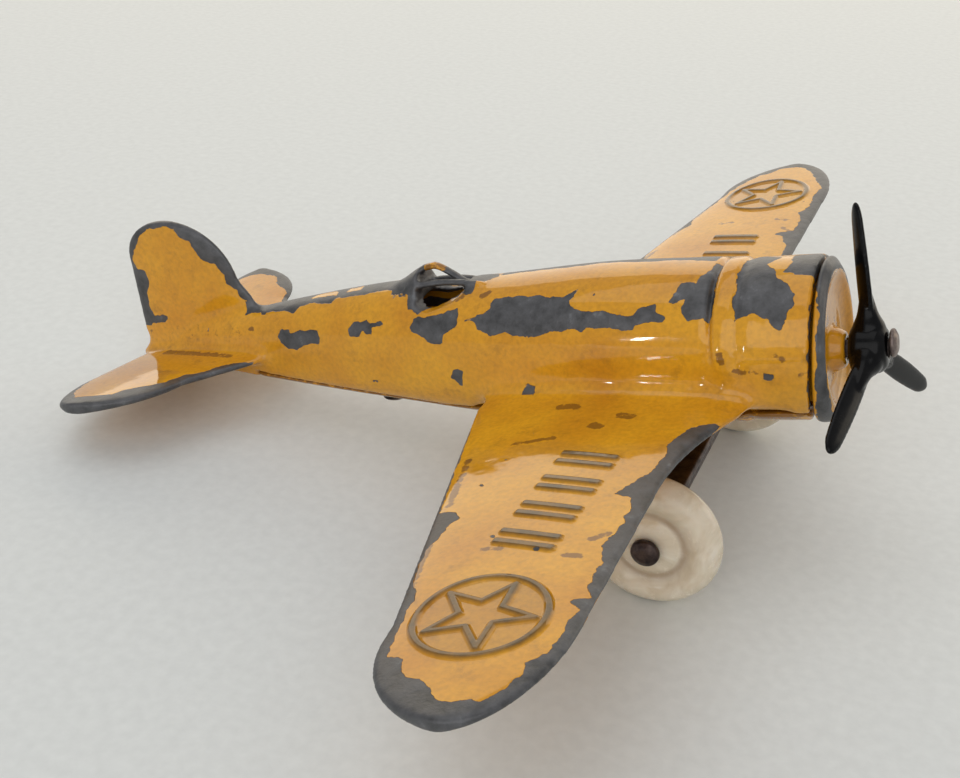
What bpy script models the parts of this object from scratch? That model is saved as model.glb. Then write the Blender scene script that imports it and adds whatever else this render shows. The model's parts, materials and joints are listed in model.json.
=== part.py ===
"""A die-cast toy monoplane with a radial engine, standing on its wheels and tail skid.

The airframe's own frame has +X forward along the thrust line, +Y to port and +Z up, in
millimetres. The root empty turns that frame nose up until wheels and skid share the floor.
"""

import math

import bmesh
import bpy
from mathutils import Matrix, Vector

MM = 0.001
GAP = 0.3  # clearance between castings that meet
RUN = 0.12  # radial clearance of a turning piece on its pin

# Wing
HALF_SPAN = 55.5
WING_LE = 15.1  # leading edge at the centre line
WING_LE_SLOPE = 0.039
WING_TE = -9.9
WING_TE_SLOPE = 0.281
WING_TIP_X = 11.2
WING_TIP_LE_START = 10.8  # rounding starts this far in from the tip
WING_TIP_TE_START = 7.0
WING_TOP = -1.95
WING_DIHEDRAL = 0.040
WING_ROOT_THICK = 2.2
WING_TIP_THICK = 1.2
ROOT_FLARE = 5.0  # the leading edge sweeps forward this far at the fuselage
ROOT_FLARE_END = 24.0

# Fuselage stations: x, half width, top, bottom
HULL = (
    (-55.4, 0.8, 1.6, -0.3),
    (-46.0, 2.1, 4.2, -1.2),
    (-36.6, 3.3, 5.6, -2.7),
    (-26.0, 4.6, 6.95, -4.3),
    (-18.0, 5.4, 7.6, -5.4),
    (-8.0, 6.4, 7.55, -6.7),
    (4.4, 7.2, 8.15, -7.2),
    (16.0, 7.5, 7.9, -7.3),
)
HULL_POWER = 2.3
FIREWALL_X = HULL[-1][0]
SKIN = 1.3  # casting wall
HOLLOW_END = -33.0
PARTING_Z = -4.5  # the belly casting closes the body below this height
PARTING_KNEE = -14.0
PARTING_SLOPE = 0.144
BELLY_END = -38.0
BELLY_SETBACK = 0.6

# Cowl
COWL_R = 7.85
COWL_RIB_R = COWL_R + 0.15
COWL_GROOVE_R = COWL_R - 0.4
COWL_RIB_LENGTH = 1.9
COWL_BOTTOM = 0.93 * COWL_R  # its underside is flatter than its top
COWL_LENGTH = 8.4
COWL_BOW = 1.0  # the cowl's open edge stands forward at its sides

# Fin, tailplane and tail skid
FIN_ROOT_Z = 6.0
FIN_LE = -37.2
FIN_LE_SLOPE = -0.61
FIN_TE = -54.9
FIN_TE_SLOPE = 0.13
FIN_TOP = 16.5
FIN_ROUND = 4.25
FIN_TIP_X = -47.3
FIN_THICK = 1.7
TAIL_HALF_SPAN = 19.4
TAIL_LE = -32.4
TAIL_LE_SLOPE = -0.75
TAIL_TE = -55.0
TAIL_ROUND_LE = 8.0
TAIL_ROUND_TE = 9.0
TAIL_TIP_X = -50.0
TAIL_TOP = 1.1
TAIL_DIHEDRAL = 0.12
TAIL_THICK = 1.4
SKID_X = -49.5
SKID_Z = -0.6
SKID_R = 2.4
SKID_THICK = 1.6

# Canopy frame
CANOPY_REAR = -18.6
CANOPY_FRONT = -8.8
CANOPY_TOP_X = -14.2
CANOPY_TOP = 9.5
CANOPY_HALF_WIDTH = 2.7
BAR_THICK = 0.75
COCKPIT_REAR = -14.4
COCKPIT_FRONT = -9.6
COCKPIT_SILL = 5.9
RAIL_Y = 1.9
RAIL_THICK = 1.0
RAIL_BITE = 1.5  # each end runs this far into the casting
RAIL_RISE = 0.9
RAIL_BED = 0.2

# Engine and propeller
ENGINE_X = FIREWALL_X + COWL_LENGTH + COWL_BOW + GAP  # back of the cowl ring
RING_R = COWL_R - 0.25
RING_LENGTH = 1.7
RING_WALL = 1.5
SPIGOT_LENGTH = 5.0
ENGINE_DISH = 1.1
BOSS_R = 2.6
HUB_R = 2.3
HUB_STAND_OFF = 0.6  # the hub clears the ring
HUB_LENGTH = 2.5
SHAFT_DROP = 1.0  # the propeller turns this far below the middle of the cowl
BLADE_TIP_R = 13.2
BLADE_CHORD = 2.6
BLADE_THICK = 0.9
BLADE_PITCH = 34.0
BLADE_PHASE = 13.0  # the first blade leans this far to port
BLADE_PLANE = 1.35  # ahead of the back of the hub
BLADE_LEANS = (-3.0, 13.0, -6.0)  # play has bent two blades
BLADE_STEPS = 14
KNUCKLE_R = 0.85
KNUCKLE_REACH = 3.3
PIN_R = 0.8
PIN_HEAD_R = 1.35
PIN_HEAD = 1.0
PIN_DEPTH = 4.0

# Wheels, axle and bracket
WHEEL_X = 11.4
AXLE_Z = -11.9
WHEEL_R = 6.4
WHEEL_WIDTH = 3.6
WHEEL_HUB_R = 2.1
WHEEL_DISH = 0.9
WHEEL_TREAD_R = 1.7
TRACK = 32.4
AXLE_R = 0.8
AXLE_HEAD_R = 1.15
AXLE_HEAD = 0.7
BRACKET_WIDTH = 6.2
BRACKET_THICK = 0.8
BRACKET_DROP = 0.1  # below the belly
EAR_R = 2.2

# Rivets
RIVET_R = 1.0
RIVET_HEAD_R = 1.7
RIVET_HEAD = 0.6
RIVET_GRIP = 3.0  # length of shank inside the post
POST_R = 2.2
REAR_RIVET_X = -22.0

ROUND = 32
SMALL_ROUND = 24


def finish(name, colour, metallic, roughness):
    material = bpy.data.materials.new(name)
    material.use_nodes = True
    shader = material.node_tree.nodes["Principled BSDF"]
    shader.inputs["Base Color"].default_value = (*colour, 1.0)
    shader.inputs["Metallic"].default_value = metallic
    shader.inputs["Roughness"].default_value = roughness
    return material


def clear_scene():
    for old in list(bpy.data.objects):
        bpy.data.objects.remove(old, do_unlink=True)


def object_of(name, mesh, root, material=None, origin=(0.0, 0.0, 0.0)):
    """Places a mesh, built in airframe millimetres, with its origin at the given point."""
    place = Vector(origin)
    mesh.transform(Matrix.Scale(MM, 4) @ Matrix.Translation(-place))
    mesh.shade_smooth()
    mesh.set_sharp_from_angle(angle=math.radians(35.0))
    made = bpy.data.objects.new(name, mesh)
    made.parent = root
    made.location = place * MM
    bpy.context.scene.collection.objects.link(made)
    if material:
        mesh.materials.append(material)
    return made


def mesh_from(build):
    shape = bmesh.new()
    build(shape)
    bmesh.ops.recalc_face_normals(shape, faces=shape.faces)
    mesh = bpy.data.meshes.new("shape")
    shape.to_mesh(mesh)
    shape.free()
    return mesh


def loft(rings, nose=None):
    """A closed solid through rings of equal point counts, with a flat cap at each end.

    Where the last ring isn't flat, its cap is a fan round the nose point instead.
    """

    def build(shape):
        rows = [[shape.verts.new(point) for point in ring] for ring in rings]
        count = len(rows[0])
        for before, after in zip(rows, rows[1:]):
            for i in range(count):
                j = (i + 1) % count
                shape.faces.new((before[i], before[j], after[j], after[i]))
        shape.faces.new(rows[0])
        if nose is None:
            shape.faces.new(list(reversed(rows[-1])))
            return
        middle = shape.verts.new(nose)
        for i in range(count):
            shape.faces.new((middle, rows[-1][i], rows[-1][(i + 1) % count]))

    return mesh_from(build)


def turned(profile, axis, sides=ROUND):
    """A closed solid turned about an axis from (along, radius) points; its ends are flat."""
    across = {"X": (1, 2, 0), "Y": (0, 2, 1), "Z": (0, 1, 2)}[axis]
    rings = []
    for along, radius in profile:
        ring = []
        for i in range(sides):
            angle = 2 * math.pi * i / sides
            point = [0.0, 0.0, 0.0]
            point[across[0]] = radius * math.cos(angle)
            point[across[1]] = radius * math.sin(angle)
            point[across[2]] = along
            ring.append(point)
        rings.append(ring)
    return loft(rings)


def moved(mesh, offset):
    mesh.transform(Matrix.Translation(Vector(offset)))
    return mesh


def block(low, high):
    def build(shape):
        bmesh.ops.create_cube(shape, size=1.0)
        size = [b - a for a, b in zip(low, high)]
        middle = [(a + b) / 2 for a, b in zip(low, high)]
        bmesh.ops.scale(shape, vec=size, verts=shape.verts)
        bmesh.ops.translate(shape, vec=middle, verts=shape.verts)

    return mesh_from(build)


def slab(outline, low, high):
    """An outline in (x, z), extruded along Y from low to high."""
    return loft([[(x, y, z) for x, z in outline] for y in (low, high)])


def boolean(base, mesh, operation, root):
    """Unites or cuts with a mesh; the tool stays in the scene as a hidden guide."""
    label = f"{operation.lower()}_{len(base.modifiers)}"
    tool = object_of(f"tool_{base.name}_{label}", mesh, root)
    tool.hide_render = True
    tool.display_type = "WIRE"
    change = base.modifiers.new(label, "BOOLEAN")
    change.operation = operation
    change.object = tool
    change.solver = "EXACT"


def between(points, x, column):
    """A smooth curve through the stations' values, by cubic Hermite pieces."""
    xs = [p[0] for p in points]
    values = [p[column] for p in points]
    x = min(max(x, xs[0]), xs[-1])
    i = min(max(sum(station <= x for station in xs) - 1, 0), len(xs) - 2)

    def slope(k):
        a, b = max(k - 1, 0), min(k + 1, len(xs) - 1)
        return (values[b] - values[a]) / (xs[b] - xs[a])

    width = xs[i + 1] - xs[i]
    t = (x - xs[i]) / width
    return (
        (2 * t**3 - 3 * t**2 + 1) * values[i]
        + (t**3 - 2 * t**2 + t) * width * slope(i)
        + (3 * t**2 - 2 * t**3) * values[i + 1]
        + (t**3 - t**2) * width * slope(i + 1)
    )


def oval(x, half_width, top, bottom, power, bow=0.0, sides=ROUND):
    """A ring at x: a superellipse whose widest line is on the thrust line's height."""
    ring = []
    for i in range(sides):
        angle = 2 * math.pi * (i + 0.5) / sides
        across, up = math.cos(angle), math.sin(angle)
        y = half_width * math.copysign(abs(across) ** (2 / power), across)
        height = top if up > 0 else -bottom
        z = height * math.copysign(abs(up) ** (2 / power), up)
        ring.append((x + bow * abs(across) ** 2, y, z))
    return ring


def hull(inset, start, end, count=22):
    """The fuselage's outer shape, drawn in by inset, from its tail to the firewall."""
    rings = []
    for i in range(count + 1):
        x = start + (end - start) * i / count
        half_width, top, bottom = (between(HULL, x, column) for column in (1, 2, 3))
        rings.append(oval(x, half_width - inset, top - inset, bottom + inset, HULL_POWER))
    return rings


def cowl_rings():
    rib_start = FIREWALL_X + 0.5
    rib_end = rib_start + COWL_RIB_LENGTH
    profile = (
        (FIREWALL_X + 0.1, COWL_GROOVE_R - 0.3),
        (rib_start - 0.1, COWL_GROOVE_R - 0.2),
        (rib_start, COWL_RIB_R - 0.15),
        (rib_start + 0.2, COWL_RIB_R),
        (rib_end - 0.2, COWL_RIB_R),
        (rib_end, COWL_GROOVE_R + 0.25),
        (rib_end + 0.3, COWL_GROOVE_R + 0.25),
        (rib_end + 0.8, COWL_R),
    )
    flat = COWL_BOTTOM / COWL_R
    rings = [oval(x, r, r, -r * flat, 2.0) for x, r in profile]
    front = FIREWALL_X + COWL_LENGTH
    rings.append(oval(front - 1.5, COWL_R, COWL_R, -COWL_BOTTOM, 2.0, COWL_BOW * 0.6))
    rings.append(oval(front, COWL_R, COWL_R, -COWL_BOTTOM, 2.0, COWL_BOW))
    return rings


def outer_hull():
    front = FIREWALL_X + COWL_LENGTH
    return loft(hull(0.0, HULL[0][0], FIREWALL_X) + cowl_rings(), (front + 0.1, 0.0, 0.0))


def hollow_mesh():
    rings = hull(SKIN, HOLLOW_END, FIREWALL_X, 14)
    inner, under = COWL_R - SKIN, COWL_BOTTOM - SKIN
    for x in (FIREWALL_X + 1.0, FIREWALL_X + COWL_LENGTH + 4.0):
        rings.append(oval(x, inner, inner, -under, 2.0))
    return loft(rings)


def parting(x):
    return PARTING_Z + PARTING_SLOPE * max(PARTING_KNEE - x, 0.0)


def below_parting(raise_by, tail, nose):
    """Everything under the line where the two castings meet, between two stations."""
    wide = COWL_R + 1.0
    deep = -COWL_R - 3.0
    outline = [(tail, deep), (tail, parting(tail) + raise_by)]
    if tail < PARTING_KNEE:
        outline.append((PARTING_KNEE, parting(PARTING_KNEE) + raise_by))
    outline += [(nose, PARTING_Z + raise_by), (nose, deep)]
    return slab(outline, -wide, wide)


def rounded(straight, tip, start, end, s):
    """An edge that is straight up to start and then turns on a quarter ellipse to the tip."""
    if s <= start:
        return straight(s)
    t = min((s - start) / (end - start), 1.0)
    from_edge = straight(start)
    return from_edge + (tip - from_edge) * (1 - math.sqrt(max(1 - t * t, 0.0)))


def plate_ring(lead, trail, thick, place, sides=16):
    """One section of a wing or fin: a flat oval from trailing to leading edge."""
    ring = []
    for i in range(sides):
        angle = 2 * math.pi * i / sides
        x = (lead + trail) / 2 + (lead - trail) / 2 * math.cos(angle)
        offset = thick / 2 * math.copysign(abs(math.sin(angle)) ** 0.7, math.sin(angle))
        ring.append(place(x, offset if abs(offset) > 1e-9 else 0.0))
    return ring


def tip_steps(root, straight_end, tip, straight_count, round_count):
    """Distances along a span: even steps, then closer ones round the tip."""
    steps = [root + (straight_end - root) * i / straight_count for i in range(straight_count)]
    for i in range(round_count):
        turn = math.pi / 2 * i / round_count
        steps.append(straight_end + (tip - straight_end) * math.sin(turn))
    last = tip - (tip - straight_end) * 0.008
    return steps + [last]


def wing(side):
    def lead(s):
        flare = max(ROOT_FLARE_END - s, 0.0) / ROOT_FLARE_END
        return WING_LE + WING_LE_SLOPE * s + 2.2 * ROOT_FLARE * flare**2

    def trail(s):
        return WING_TE + WING_TE_SLOPE * s

    rings = []
    straight_end = HALF_SPAN - WING_TIP_LE_START
    for s in tip_steps(1.0, straight_end, HALF_SPAN, 12, 10):
        thick = WING_ROOT_THICK + (WING_TIP_THICK - WING_ROOT_THICK) * s / HALF_SPAN
        front = rounded(lead, WING_TIP_X, straight_end, HALF_SPAN, s)
        back = rounded(trail, WING_TIP_X, HALF_SPAN - WING_TIP_TE_START, HALF_SPAN, s)
        middle = WING_TOP + WING_DIHEDRAL * s - thick / 2
        slim = min(thick, (front - back) * 0.8)
        rings.append(plate_ring(front, back, slim, lambda x, o: (x, side * s, middle + o)))
    return loft(rings)


def tailplane(side):
    def lead(s):
        return TAIL_LE + TAIL_LE_SLOPE * s

    def trail(s):
        return TAIL_TE

    rings = []
    lead_end = TAIL_HALF_SPAN - TAIL_ROUND_LE
    for s in tip_steps(0.4, TAIL_HALF_SPAN - TAIL_ROUND_TE, TAIL_HALF_SPAN, 3, 9):
        front = rounded(lead, TAIL_TIP_X, lead_end, TAIL_HALF_SPAN, s)
        back = rounded(trail, TAIL_TIP_X, TAIL_HALF_SPAN - TAIL_ROUND_TE, TAIL_HALF_SPAN, s)
        middle = TAIL_TOP + TAIL_DIHEDRAL * s - TAIL_THICK / 2
        slim = min(TAIL_THICK, (front - back) * 0.8)
        rings.append(plate_ring(front, back, slim, lambda x, o: (x, side * s, middle + o)))
    return loft(rings)


def fin():
    def lead(z):
        return FIN_LE + FIN_LE_SLOPE * (z - FIN_ROOT_Z)

    def trail(z):
        return FIN_TE + FIN_TE_SLOPE * z

    rings = []
    straight_end = FIN_TOP - FIN_ROUND
    for z in tip_steps(0.6, straight_end, FIN_TOP, 4, 8):
        front = rounded(lead, FIN_TIP_X, straight_end, FIN_TOP, z)
        back = rounded(trail, FIN_TIP_X, straight_end, FIN_TOP, z)
        slim = min(FIN_THICK * (1.15 - 0.3 * z / FIN_TOP), (front - back) * 0.8)
        rings.append(plate_ring(front, back, slim, lambda x, o: (x, o, z)))
    return loft(rings)


def canopy_top(x):
    """The height of the canopy frame's ridge above each station."""
    deck = between(HULL, x, 2)
    if x < CANOPY_TOP_X:
        t = (x - CANOPY_REAR) / (CANOPY_TOP_X - CANOPY_REAR)
    else:
        t = (CANOPY_FRONT - x) / (CANOPY_FRONT - CANOPY_TOP_X)
    rise = t * t * (3 - 2 * t)
    return deck - 0.3 + (CANOPY_TOP - deck + 0.3) * rise


def canopy():
    """A solid hump over the cockpit, before its openings are cut."""
    rings = []
    count = 12
    for i in range(count + 1):
        x = CANOPY_REAR + (CANOPY_FRONT - CANOPY_REAR) * i / count
        top = canopy_top(x)
        wide = CANOPY_HALF_WIDTH * (0.55 + 0.45 * math.sin(math.pi * i / count))
        ring = []
        for k in range(12):
            angle = 2 * math.pi * k / 12
            ring.append((x, wide * math.cos(angle), top - 2.4 + 2.4 * math.sin(angle)))
        rings.append(ring)
    return loft(rings)


def cockpit_cut():
    """The opening through both sides, under the ridge bar and down into the hollow body."""
    front_bar = CANOPY_TOP_X + 1.2
    low_bar = COCKPIT_FRONT - 1.2
    deck = between(HULL, COCKPIT_FRONT, 2) - BAR_THICK
    outline = [
        (COCKPIT_REAR, COCKPIT_SILL + 0.3),
        (COCKPIT_REAR, canopy_top(COCKPIT_REAR) - BAR_THICK),
        (front_bar, canopy_top(front_bar) - BAR_THICK),
        (low_bar, canopy_top(low_bar) - BAR_THICK),
        (COCKPIT_FRONT, deck),
        (COCKPIT_FRONT - 0.3, deck - 0.5),
        (COCKPIT_REAR + 1.4, COCKPIT_SILL - 0.2),
    ]
    reach = COWL_R + 1.0
    return slab(outline, -reach, reach)


def rail(side):
    """A slim sill bar that arches along the cockpit opening, at the foot of the canopy."""
    ends = COCKPIT_REAR - RAIL_BITE, COCKPIT_FRONT + RAIL_BITE
    rings = []
    for i in range(7):
        x = ends[0] + (ends[1] - ends[0]) * i / 6
        rise = RAIL_RISE * math.sin(math.pi * i / 6)
        height = between(HULL, x, 2) - RAIL_THICK / 2 - RAIL_BED + rise
        ring = []
        for k in range(8):
            angle = 2 * math.pi * (k + 0.5) / 8
            y = side * RAIL_Y + RAIL_THICK / 2 * math.cos(angle)
            ring.append((x, y, height + RAIL_THICK / 2 * math.sin(angle)))
        rings.append(ring)
    return loft(rings)


def post(x):
    """A post that hangs from the body's roof down to the belly, for a rivet."""
    roof = between(HULL, x, 2) - SKIN / 2
    profile = ((parting(x) + GAP * 2, POST_R), (roof, POST_R))
    return moved(turned(profile, "Z", SMALL_ROUND), (x, 0, 0))


def rivet_hole(x, low, high):
    radius = RIVET_R + RUN
    return moved(turned(((low, radius), (high, radius)), "Z", SMALL_ROUND), (x, 0, 0))


def belly_bottom(x):
    return between(HULL, x, 3)


def bracket_top():
    return belly_bottom(WHEEL_X) - BRACKET_DROP


def rivet_stations():
    return (WHEEL_X, REAR_RIVET_X)


def body_casting(root, material):
    body = object_of("body_casting", outer_hull(), root, material)
    skid = turned(((-SKID_THICK / 2, SKID_R), (SKID_THICK / 2, SKID_R)), "Y", SMALL_ROUND)
    outside = [wing(1), wing(-1), tailplane(1), tailplane(-1), fin(), canopy()]
    for mesh in outside + [moved(skid, (SKID_X, 0, SKID_Z))]:
        boolean(body, mesh, "UNION", root)
    nose = FIREWALL_X + COWL_LENGTH + COWL_BOW + 1.0
    for mesh in (hollow_mesh(), below_parting(0.0, BELLY_END - GAP, nose), cockpit_cut()):
        boolean(body, mesh, "DIFFERENCE", root)
    for mesh in [rail(1), rail(-1)] + [post(x) for x in rivet_stations()]:
        boolean(body, mesh, "UNION", root)
    for x in rivet_stations():
        blind_end = parting(x) + RIVET_GRIP + GAP
        boolean(body, rivet_hole(x, parting(x) - 2.0, blind_end), "DIFFERENCE", root)
    return body


def belly_casting(root, material):
    belly = object_of("belly_casting", outer_hull(), root, material)
    nose = FIREWALL_X + COWL_LENGTH - BELLY_SETBACK
    boolean(belly, below_parting(-GAP, BELLY_END, nose), "INTERSECT", root)
    boolean(belly, hollow_mesh(), "DIFFERENCE", root)
    for x in rivet_stations():
        hole = rivet_hole(x, belly_bottom(x) - 3.0, parting(x) + 1.0)
        boolean(belly, hole, "DIFFERENCE", root)
    half = BRACKET_WIDTH / 2 + GAP
    low = (WHEEL_X - half, -COWL_R, -COWL_R - 3.0)
    high = (WHEEL_X + half, COWL_R, bracket_top() + GAP)
    boolean(belly, block(low, high), "DIFFERENCE", root)
    return belly


def engine_casting(root, material):
    """The cowl's lip ring, the dished engine face with its boss, and the spigot behind."""
    back = ENGINE_X
    front = ENGINE_X + RING_LENGTH
    spigot = COWL_BOTTOM - SKIN - GAP
    lip = RING_R - RING_WALL
    profile = (
        (back - SPIGOT_LENGTH, spigot - 0.3),
        (back - SPIGOT_LENGTH + 0.3, spigot),
        (back, spigot),
        (back + 0.1, RING_R - 0.5),
        (back + 0.5, RING_R),
        (front - 0.7, RING_R),
        (front - 0.2, RING_R - 0.35),
        (front, RING_R - RING_WALL / 2),
        (front - 0.2, lip + 0.3),
        (front - 0.6, lip),
        (front - ENGINE_DISH, lip - 0.4),
    )
    engine = object_of("engine_casting", turned(profile, "X"), root, material)
    face = front - ENGINE_DISH
    boss = turned(((face - 0.5, BOSS_R), (face + 0.4, BOSS_R), (hub_back() - GAP, BOSS_R - 0.8)), "X")
    boolean(engine, moved(boss, shaft_at(0.0)), "UNION", root)
    bore = PIN_R + RUN
    hole = turned(((back - PIN_DEPTH - GAP, bore), (front + 3.0, bore)), "X", SMALL_ROUND)
    boolean(engine, moved(hole, shaft_at(0.0)), "DIFFERENCE", root)
    return engine


def shaft_at(x):
    """A point on the propeller's axis."""
    return (x, 0.0, -SHAFT_DROP)


def hub_back():
    return ENGINE_X + RING_LENGTH + HUB_STAND_OFF


def blade(number):
    """A twisted blade, leaning fore or aft, as an upright loft turned to its place."""
    rings = []
    for i in range(BLADE_STEPS + 1):
        t = i / BLADE_STEPS
        radius = HUB_R * 0.6 + (BLADE_TIP_R - HUB_R * 0.6) * t
        grow = min(1.0, 0.55 + 1.6 * t)
        tip = math.sqrt(max(1.0 - max((t - 0.8) / 0.2, 0.0) ** 2, 0.012))
        chord = BLADE_CHORD * grow * tip
        thick = (BLADE_THICK * (1.5 - t)) * math.sqrt(tip)
        pitch = -math.radians(BLADE_PITCH * (1.25 - 0.6 * t))
        ring = []
        for k in range(12):
            angle = 2 * math.pi * k / 12
            wide, deep = chord / 2 * math.cos(angle), thick / 2 * math.sin(angle)
            x = wide * math.sin(pitch) + deep * math.cos(pitch)
            y = wide * math.cos(pitch) - deep * math.sin(pitch)
            ring.append((x, y, radius))
        rings.append(ring)
    mesh = loft(rings)
    lean = Matrix.Rotation(math.radians(BLADE_LEANS[number]), 4, "Y")
    turn = Matrix.Rotation(math.radians(-BLADE_PHASE - 120.0 * number), 4, "X")
    mesh.transform(Matrix.Translation(shaft_at(hub_back() + BLADE_PLANE)) @ turn @ lean)
    return mesh


def knuckle(number):
    """The stub of hub that carries one blade."""
    stub = turned(((0.2, KNUCKLE_R), (KNUCKLE_REACH, KNUCKLE_R * 0.85)), "Z", 12)
    turn = Matrix.Rotation(math.radians(-BLADE_PHASE - 120.0 * number), 4, "X")
    stub.transform(Matrix.Translation(shaft_at(hub_back() + BLADE_PLANE)) @ turn)
    return stub


def propeller(root, material):
    back = hub_back()
    front = back + HUB_LENGTH
    profile = ((back, HUB_R - 0.3), (back + 0.3, HUB_R), (front - 0.3, HUB_R), (front, HUB_R - 0.3))
    hub = moved(turned(profile, "X", SMALL_ROUND), shaft_at(0.0))
    made = object_of("propeller", hub, root, material, shaft_at(back))
    for number in range(3):
        boolean(made, knuckle(number), "UNION", root)
        boolean(made, blade(number), "UNION", root)
    bore = PIN_R + RUN
    hole = turned(((back - 2.0, bore), (front + 2.0, bore)), "X", SMALL_ROUND)
    boolean(made, moved(hole, shaft_at(0.0)), "DIFFERENCE", root)
    return made


def propeller_pin(root, material):
    under_head = hub_back() + HUB_LENGTH + GAP
    profile = (
        (ENGINE_X - PIN_DEPTH, PIN_R - 0.15),
        (ENGINE_X - PIN_DEPTH + 0.2, PIN_R),
        (under_head, PIN_R),
        (under_head + 0.05, PIN_HEAD_R),
        (under_head + PIN_HEAD - 0.35, PIN_HEAD_R),
        (under_head + PIN_HEAD, PIN_HEAD_R * 0.55),
    )
    shape = moved(turned(profile, "X", SMALL_ROUND), shaft_at(0.0))
    return object_of("propeller_pin", shape, root, material)


def wheel(name, side, root, material):
    """A moulded wheel: a round tread, a dished face and a raised hub, bored for the axle."""
    half = WHEEL_WIDTH / 2
    tread = WHEEL_R - WHEEL_TREAD_R
    profile = [(-half + WHEEL_DISH * 0.4, WHEEL_HUB_R), (-half + WHEEL_DISH * 0.4, tread - 0.8)]
    for i in range(9):
        angle = math.pi * (1 - i / 8)
        across, out = half * math.cos(angle), WHEEL_TREAD_R * math.sin(angle)
        profile.append((across, tread + out))
    profile += [(half - WHEEL_DISH, tread - 0.9), (half - WHEEL_DISH, WHEEL_HUB_R + 0.5)]
    profile += [(half - 0.1, WHEEL_HUB_R)]
    middle = (WHEEL_X, side * TRACK / 2, AXLE_Z)
    shape = turned([(side * along, radius) for along, radius in profile], "Y")
    made = object_of(name, moved(shape, middle), root, material, middle)
    bore = AXLE_R + RUN
    hole = turned(((-half - 1.0, bore), (half + 1.0, bore)), "Y", SMALL_ROUND)
    boolean(made, moved(hole, middle), "DIFFERENCE", root)
    return made


def axle_rod(root, material):
    """One rod through both wheels and the bracket's ears, with a rounded head on each end."""
    under_head = TRACK / 2 + WHEEL_WIDTH / 2 + GAP
    end = [(under_head, AXLE_R), (under_head + 0.05, AXLE_HEAD_R)]
    end += [(under_head + AXLE_HEAD - 0.25, AXLE_HEAD_R), (under_head + AXLE_HEAD, AXLE_HEAD_R * 0.6)]
    profile = [(-along, radius) for along, radius in reversed(end)] + end
    shape = moved(turned(profile, "Y", SMALL_ROUND), (WHEEL_X, 0, AXLE_Z))
    return object_of("axle_rod", shape, root, material)


def ear_centre():
    return TRACK / 2 - WHEEL_WIDTH / 2 - GAP - BRACKET_THICK / 2


def gear_bracket(root, material):
    """A strip across the belly, folded down into an ear behind each wheel."""
    top = bracket_top()
    reach = ear_centre() + BRACKET_THICK / 2
    low = (WHEEL_X - BRACKET_WIDTH / 2, -reach, top - BRACKET_THICK)
    high = (WHEEL_X + BRACKET_WIDTH / 2, reach, top)
    bracket = object_of("gear_bracket", block(low, high), root, material)
    ear_low = AXLE_Z - EAR_R
    for side in (1, -1):
        outline = [(WHEEL_X + BRACKET_WIDTH / 2, top - 0.1), (WHEEL_X - BRACKET_WIDTH / 2, top - 0.1)]
        for i in range(9):
            angle = math.pi * (1 + i / 8)
            x = WHEEL_X + EAR_R * math.cos(angle)
            outline.append((x, ear_low + EAR_R + EAR_R * math.sin(angle)))
        inner, outer = side * (ear_centre() - BRACKET_THICK / 2), side * (reach - 0.02)
        boolean(bracket, slab(outline, min(inner, outer), max(inner, outer)), "UNION", root)
    bore = AXLE_R + RUN
    hole = turned(((-reach - 1.0, bore), (reach + 1.0, bore)), "Y", SMALL_ROUND)
    boolean(bracket, moved(hole, (WHEEL_X, 0, AXLE_Z)), "DIFFERENCE", root)
    boolean(bracket, rivet_hole(WHEEL_X, top - 2.0, top + 1.0), "DIFFERENCE", root)
    return bracket


def rivet(name, x, seat, root, material):
    """A domed rivet from below, through the belly and up into its post."""
    head = seat - GAP
    profile = (
        (head - RIVET_HEAD, RIVET_HEAD_R * 0.55),
        (head - RIVET_HEAD * 0.35, RIVET_HEAD_R * 0.9),
        (head, RIVET_HEAD_R),
        (head + 0.02, RIVET_R),
        (parting(x) + RIVET_GRIP, RIVET_R),
    )
    return object_of(name, moved(turned(profile, "Z", SMALL_ROUND), (x, 0, 0)), root, material)


def stance():
    """The nose-up angle at which the wheels and the tail skid stand on one plane."""
    along = WHEEL_X - SKID_X
    drop = SKID_Z - AXLE_Z
    return math.atan2(drop, along) + math.asin((WHEEL_R - SKID_R) / math.hypot(along, drop))


def stand_on_floor(root):
    """Turns the airframe nose up, then puts its box's bottom centre at the origin."""
    root.rotation_euler = (0.0, -stance(), 0.0)
    bpy.context.view_layer.update()
    graph = bpy.context.evaluated_depsgraph_get()
    points = []
    for piece in bpy.context.scene.objects:
        if piece.type == "MESH" and not piece.hide_render:
            shape = piece.evaluated_get(graph)
            points += [shape.matrix_world @ vertex.co for vertex in shape.data.vertices]
    low = [min(point[k] for point in points) for k in range(3)]
    high = [max(point[k] for point in points) for k in range(3)]
    root.location = (-(low[0] + high[0]) / 2, -(low[1] + high[1]) / 2, -low[2])
    bpy.context.view_layer.update()


def report_joints(root):
    """Prints each turning axis in world metres."""
    places = {
        "propeller_spin": (shaft_at(hub_back()), (1, 0, 0)),
        "wheel_left_spin": ((WHEEL_X, TRACK / 2, AXLE_Z), (0, 1, 0)),
        "wheel_right_spin": ((WHEEL_X, -TRACK / 2, AXLE_Z), (0, 1, 0)),
        "bracket_edge": ((WHEEL_X + BRACKET_WIDTH / 2, 6.0, bracket_top() - BRACKET_THICK / 2), (1, 0, 0)),
    }
    turn = root.matrix_world.to_3x3()
    for name, (point, axis) in places.items():
        place = root.matrix_world @ (Vector(point) * MM)
        direction = turn @ Vector(axis)
        print(name, [round(v, 6) for v in place], [round(v, 6) for v in direction])
    print("stance", round(math.degrees(stance()), 3), "origin", [round(v, 6) for v in root.location])


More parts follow.
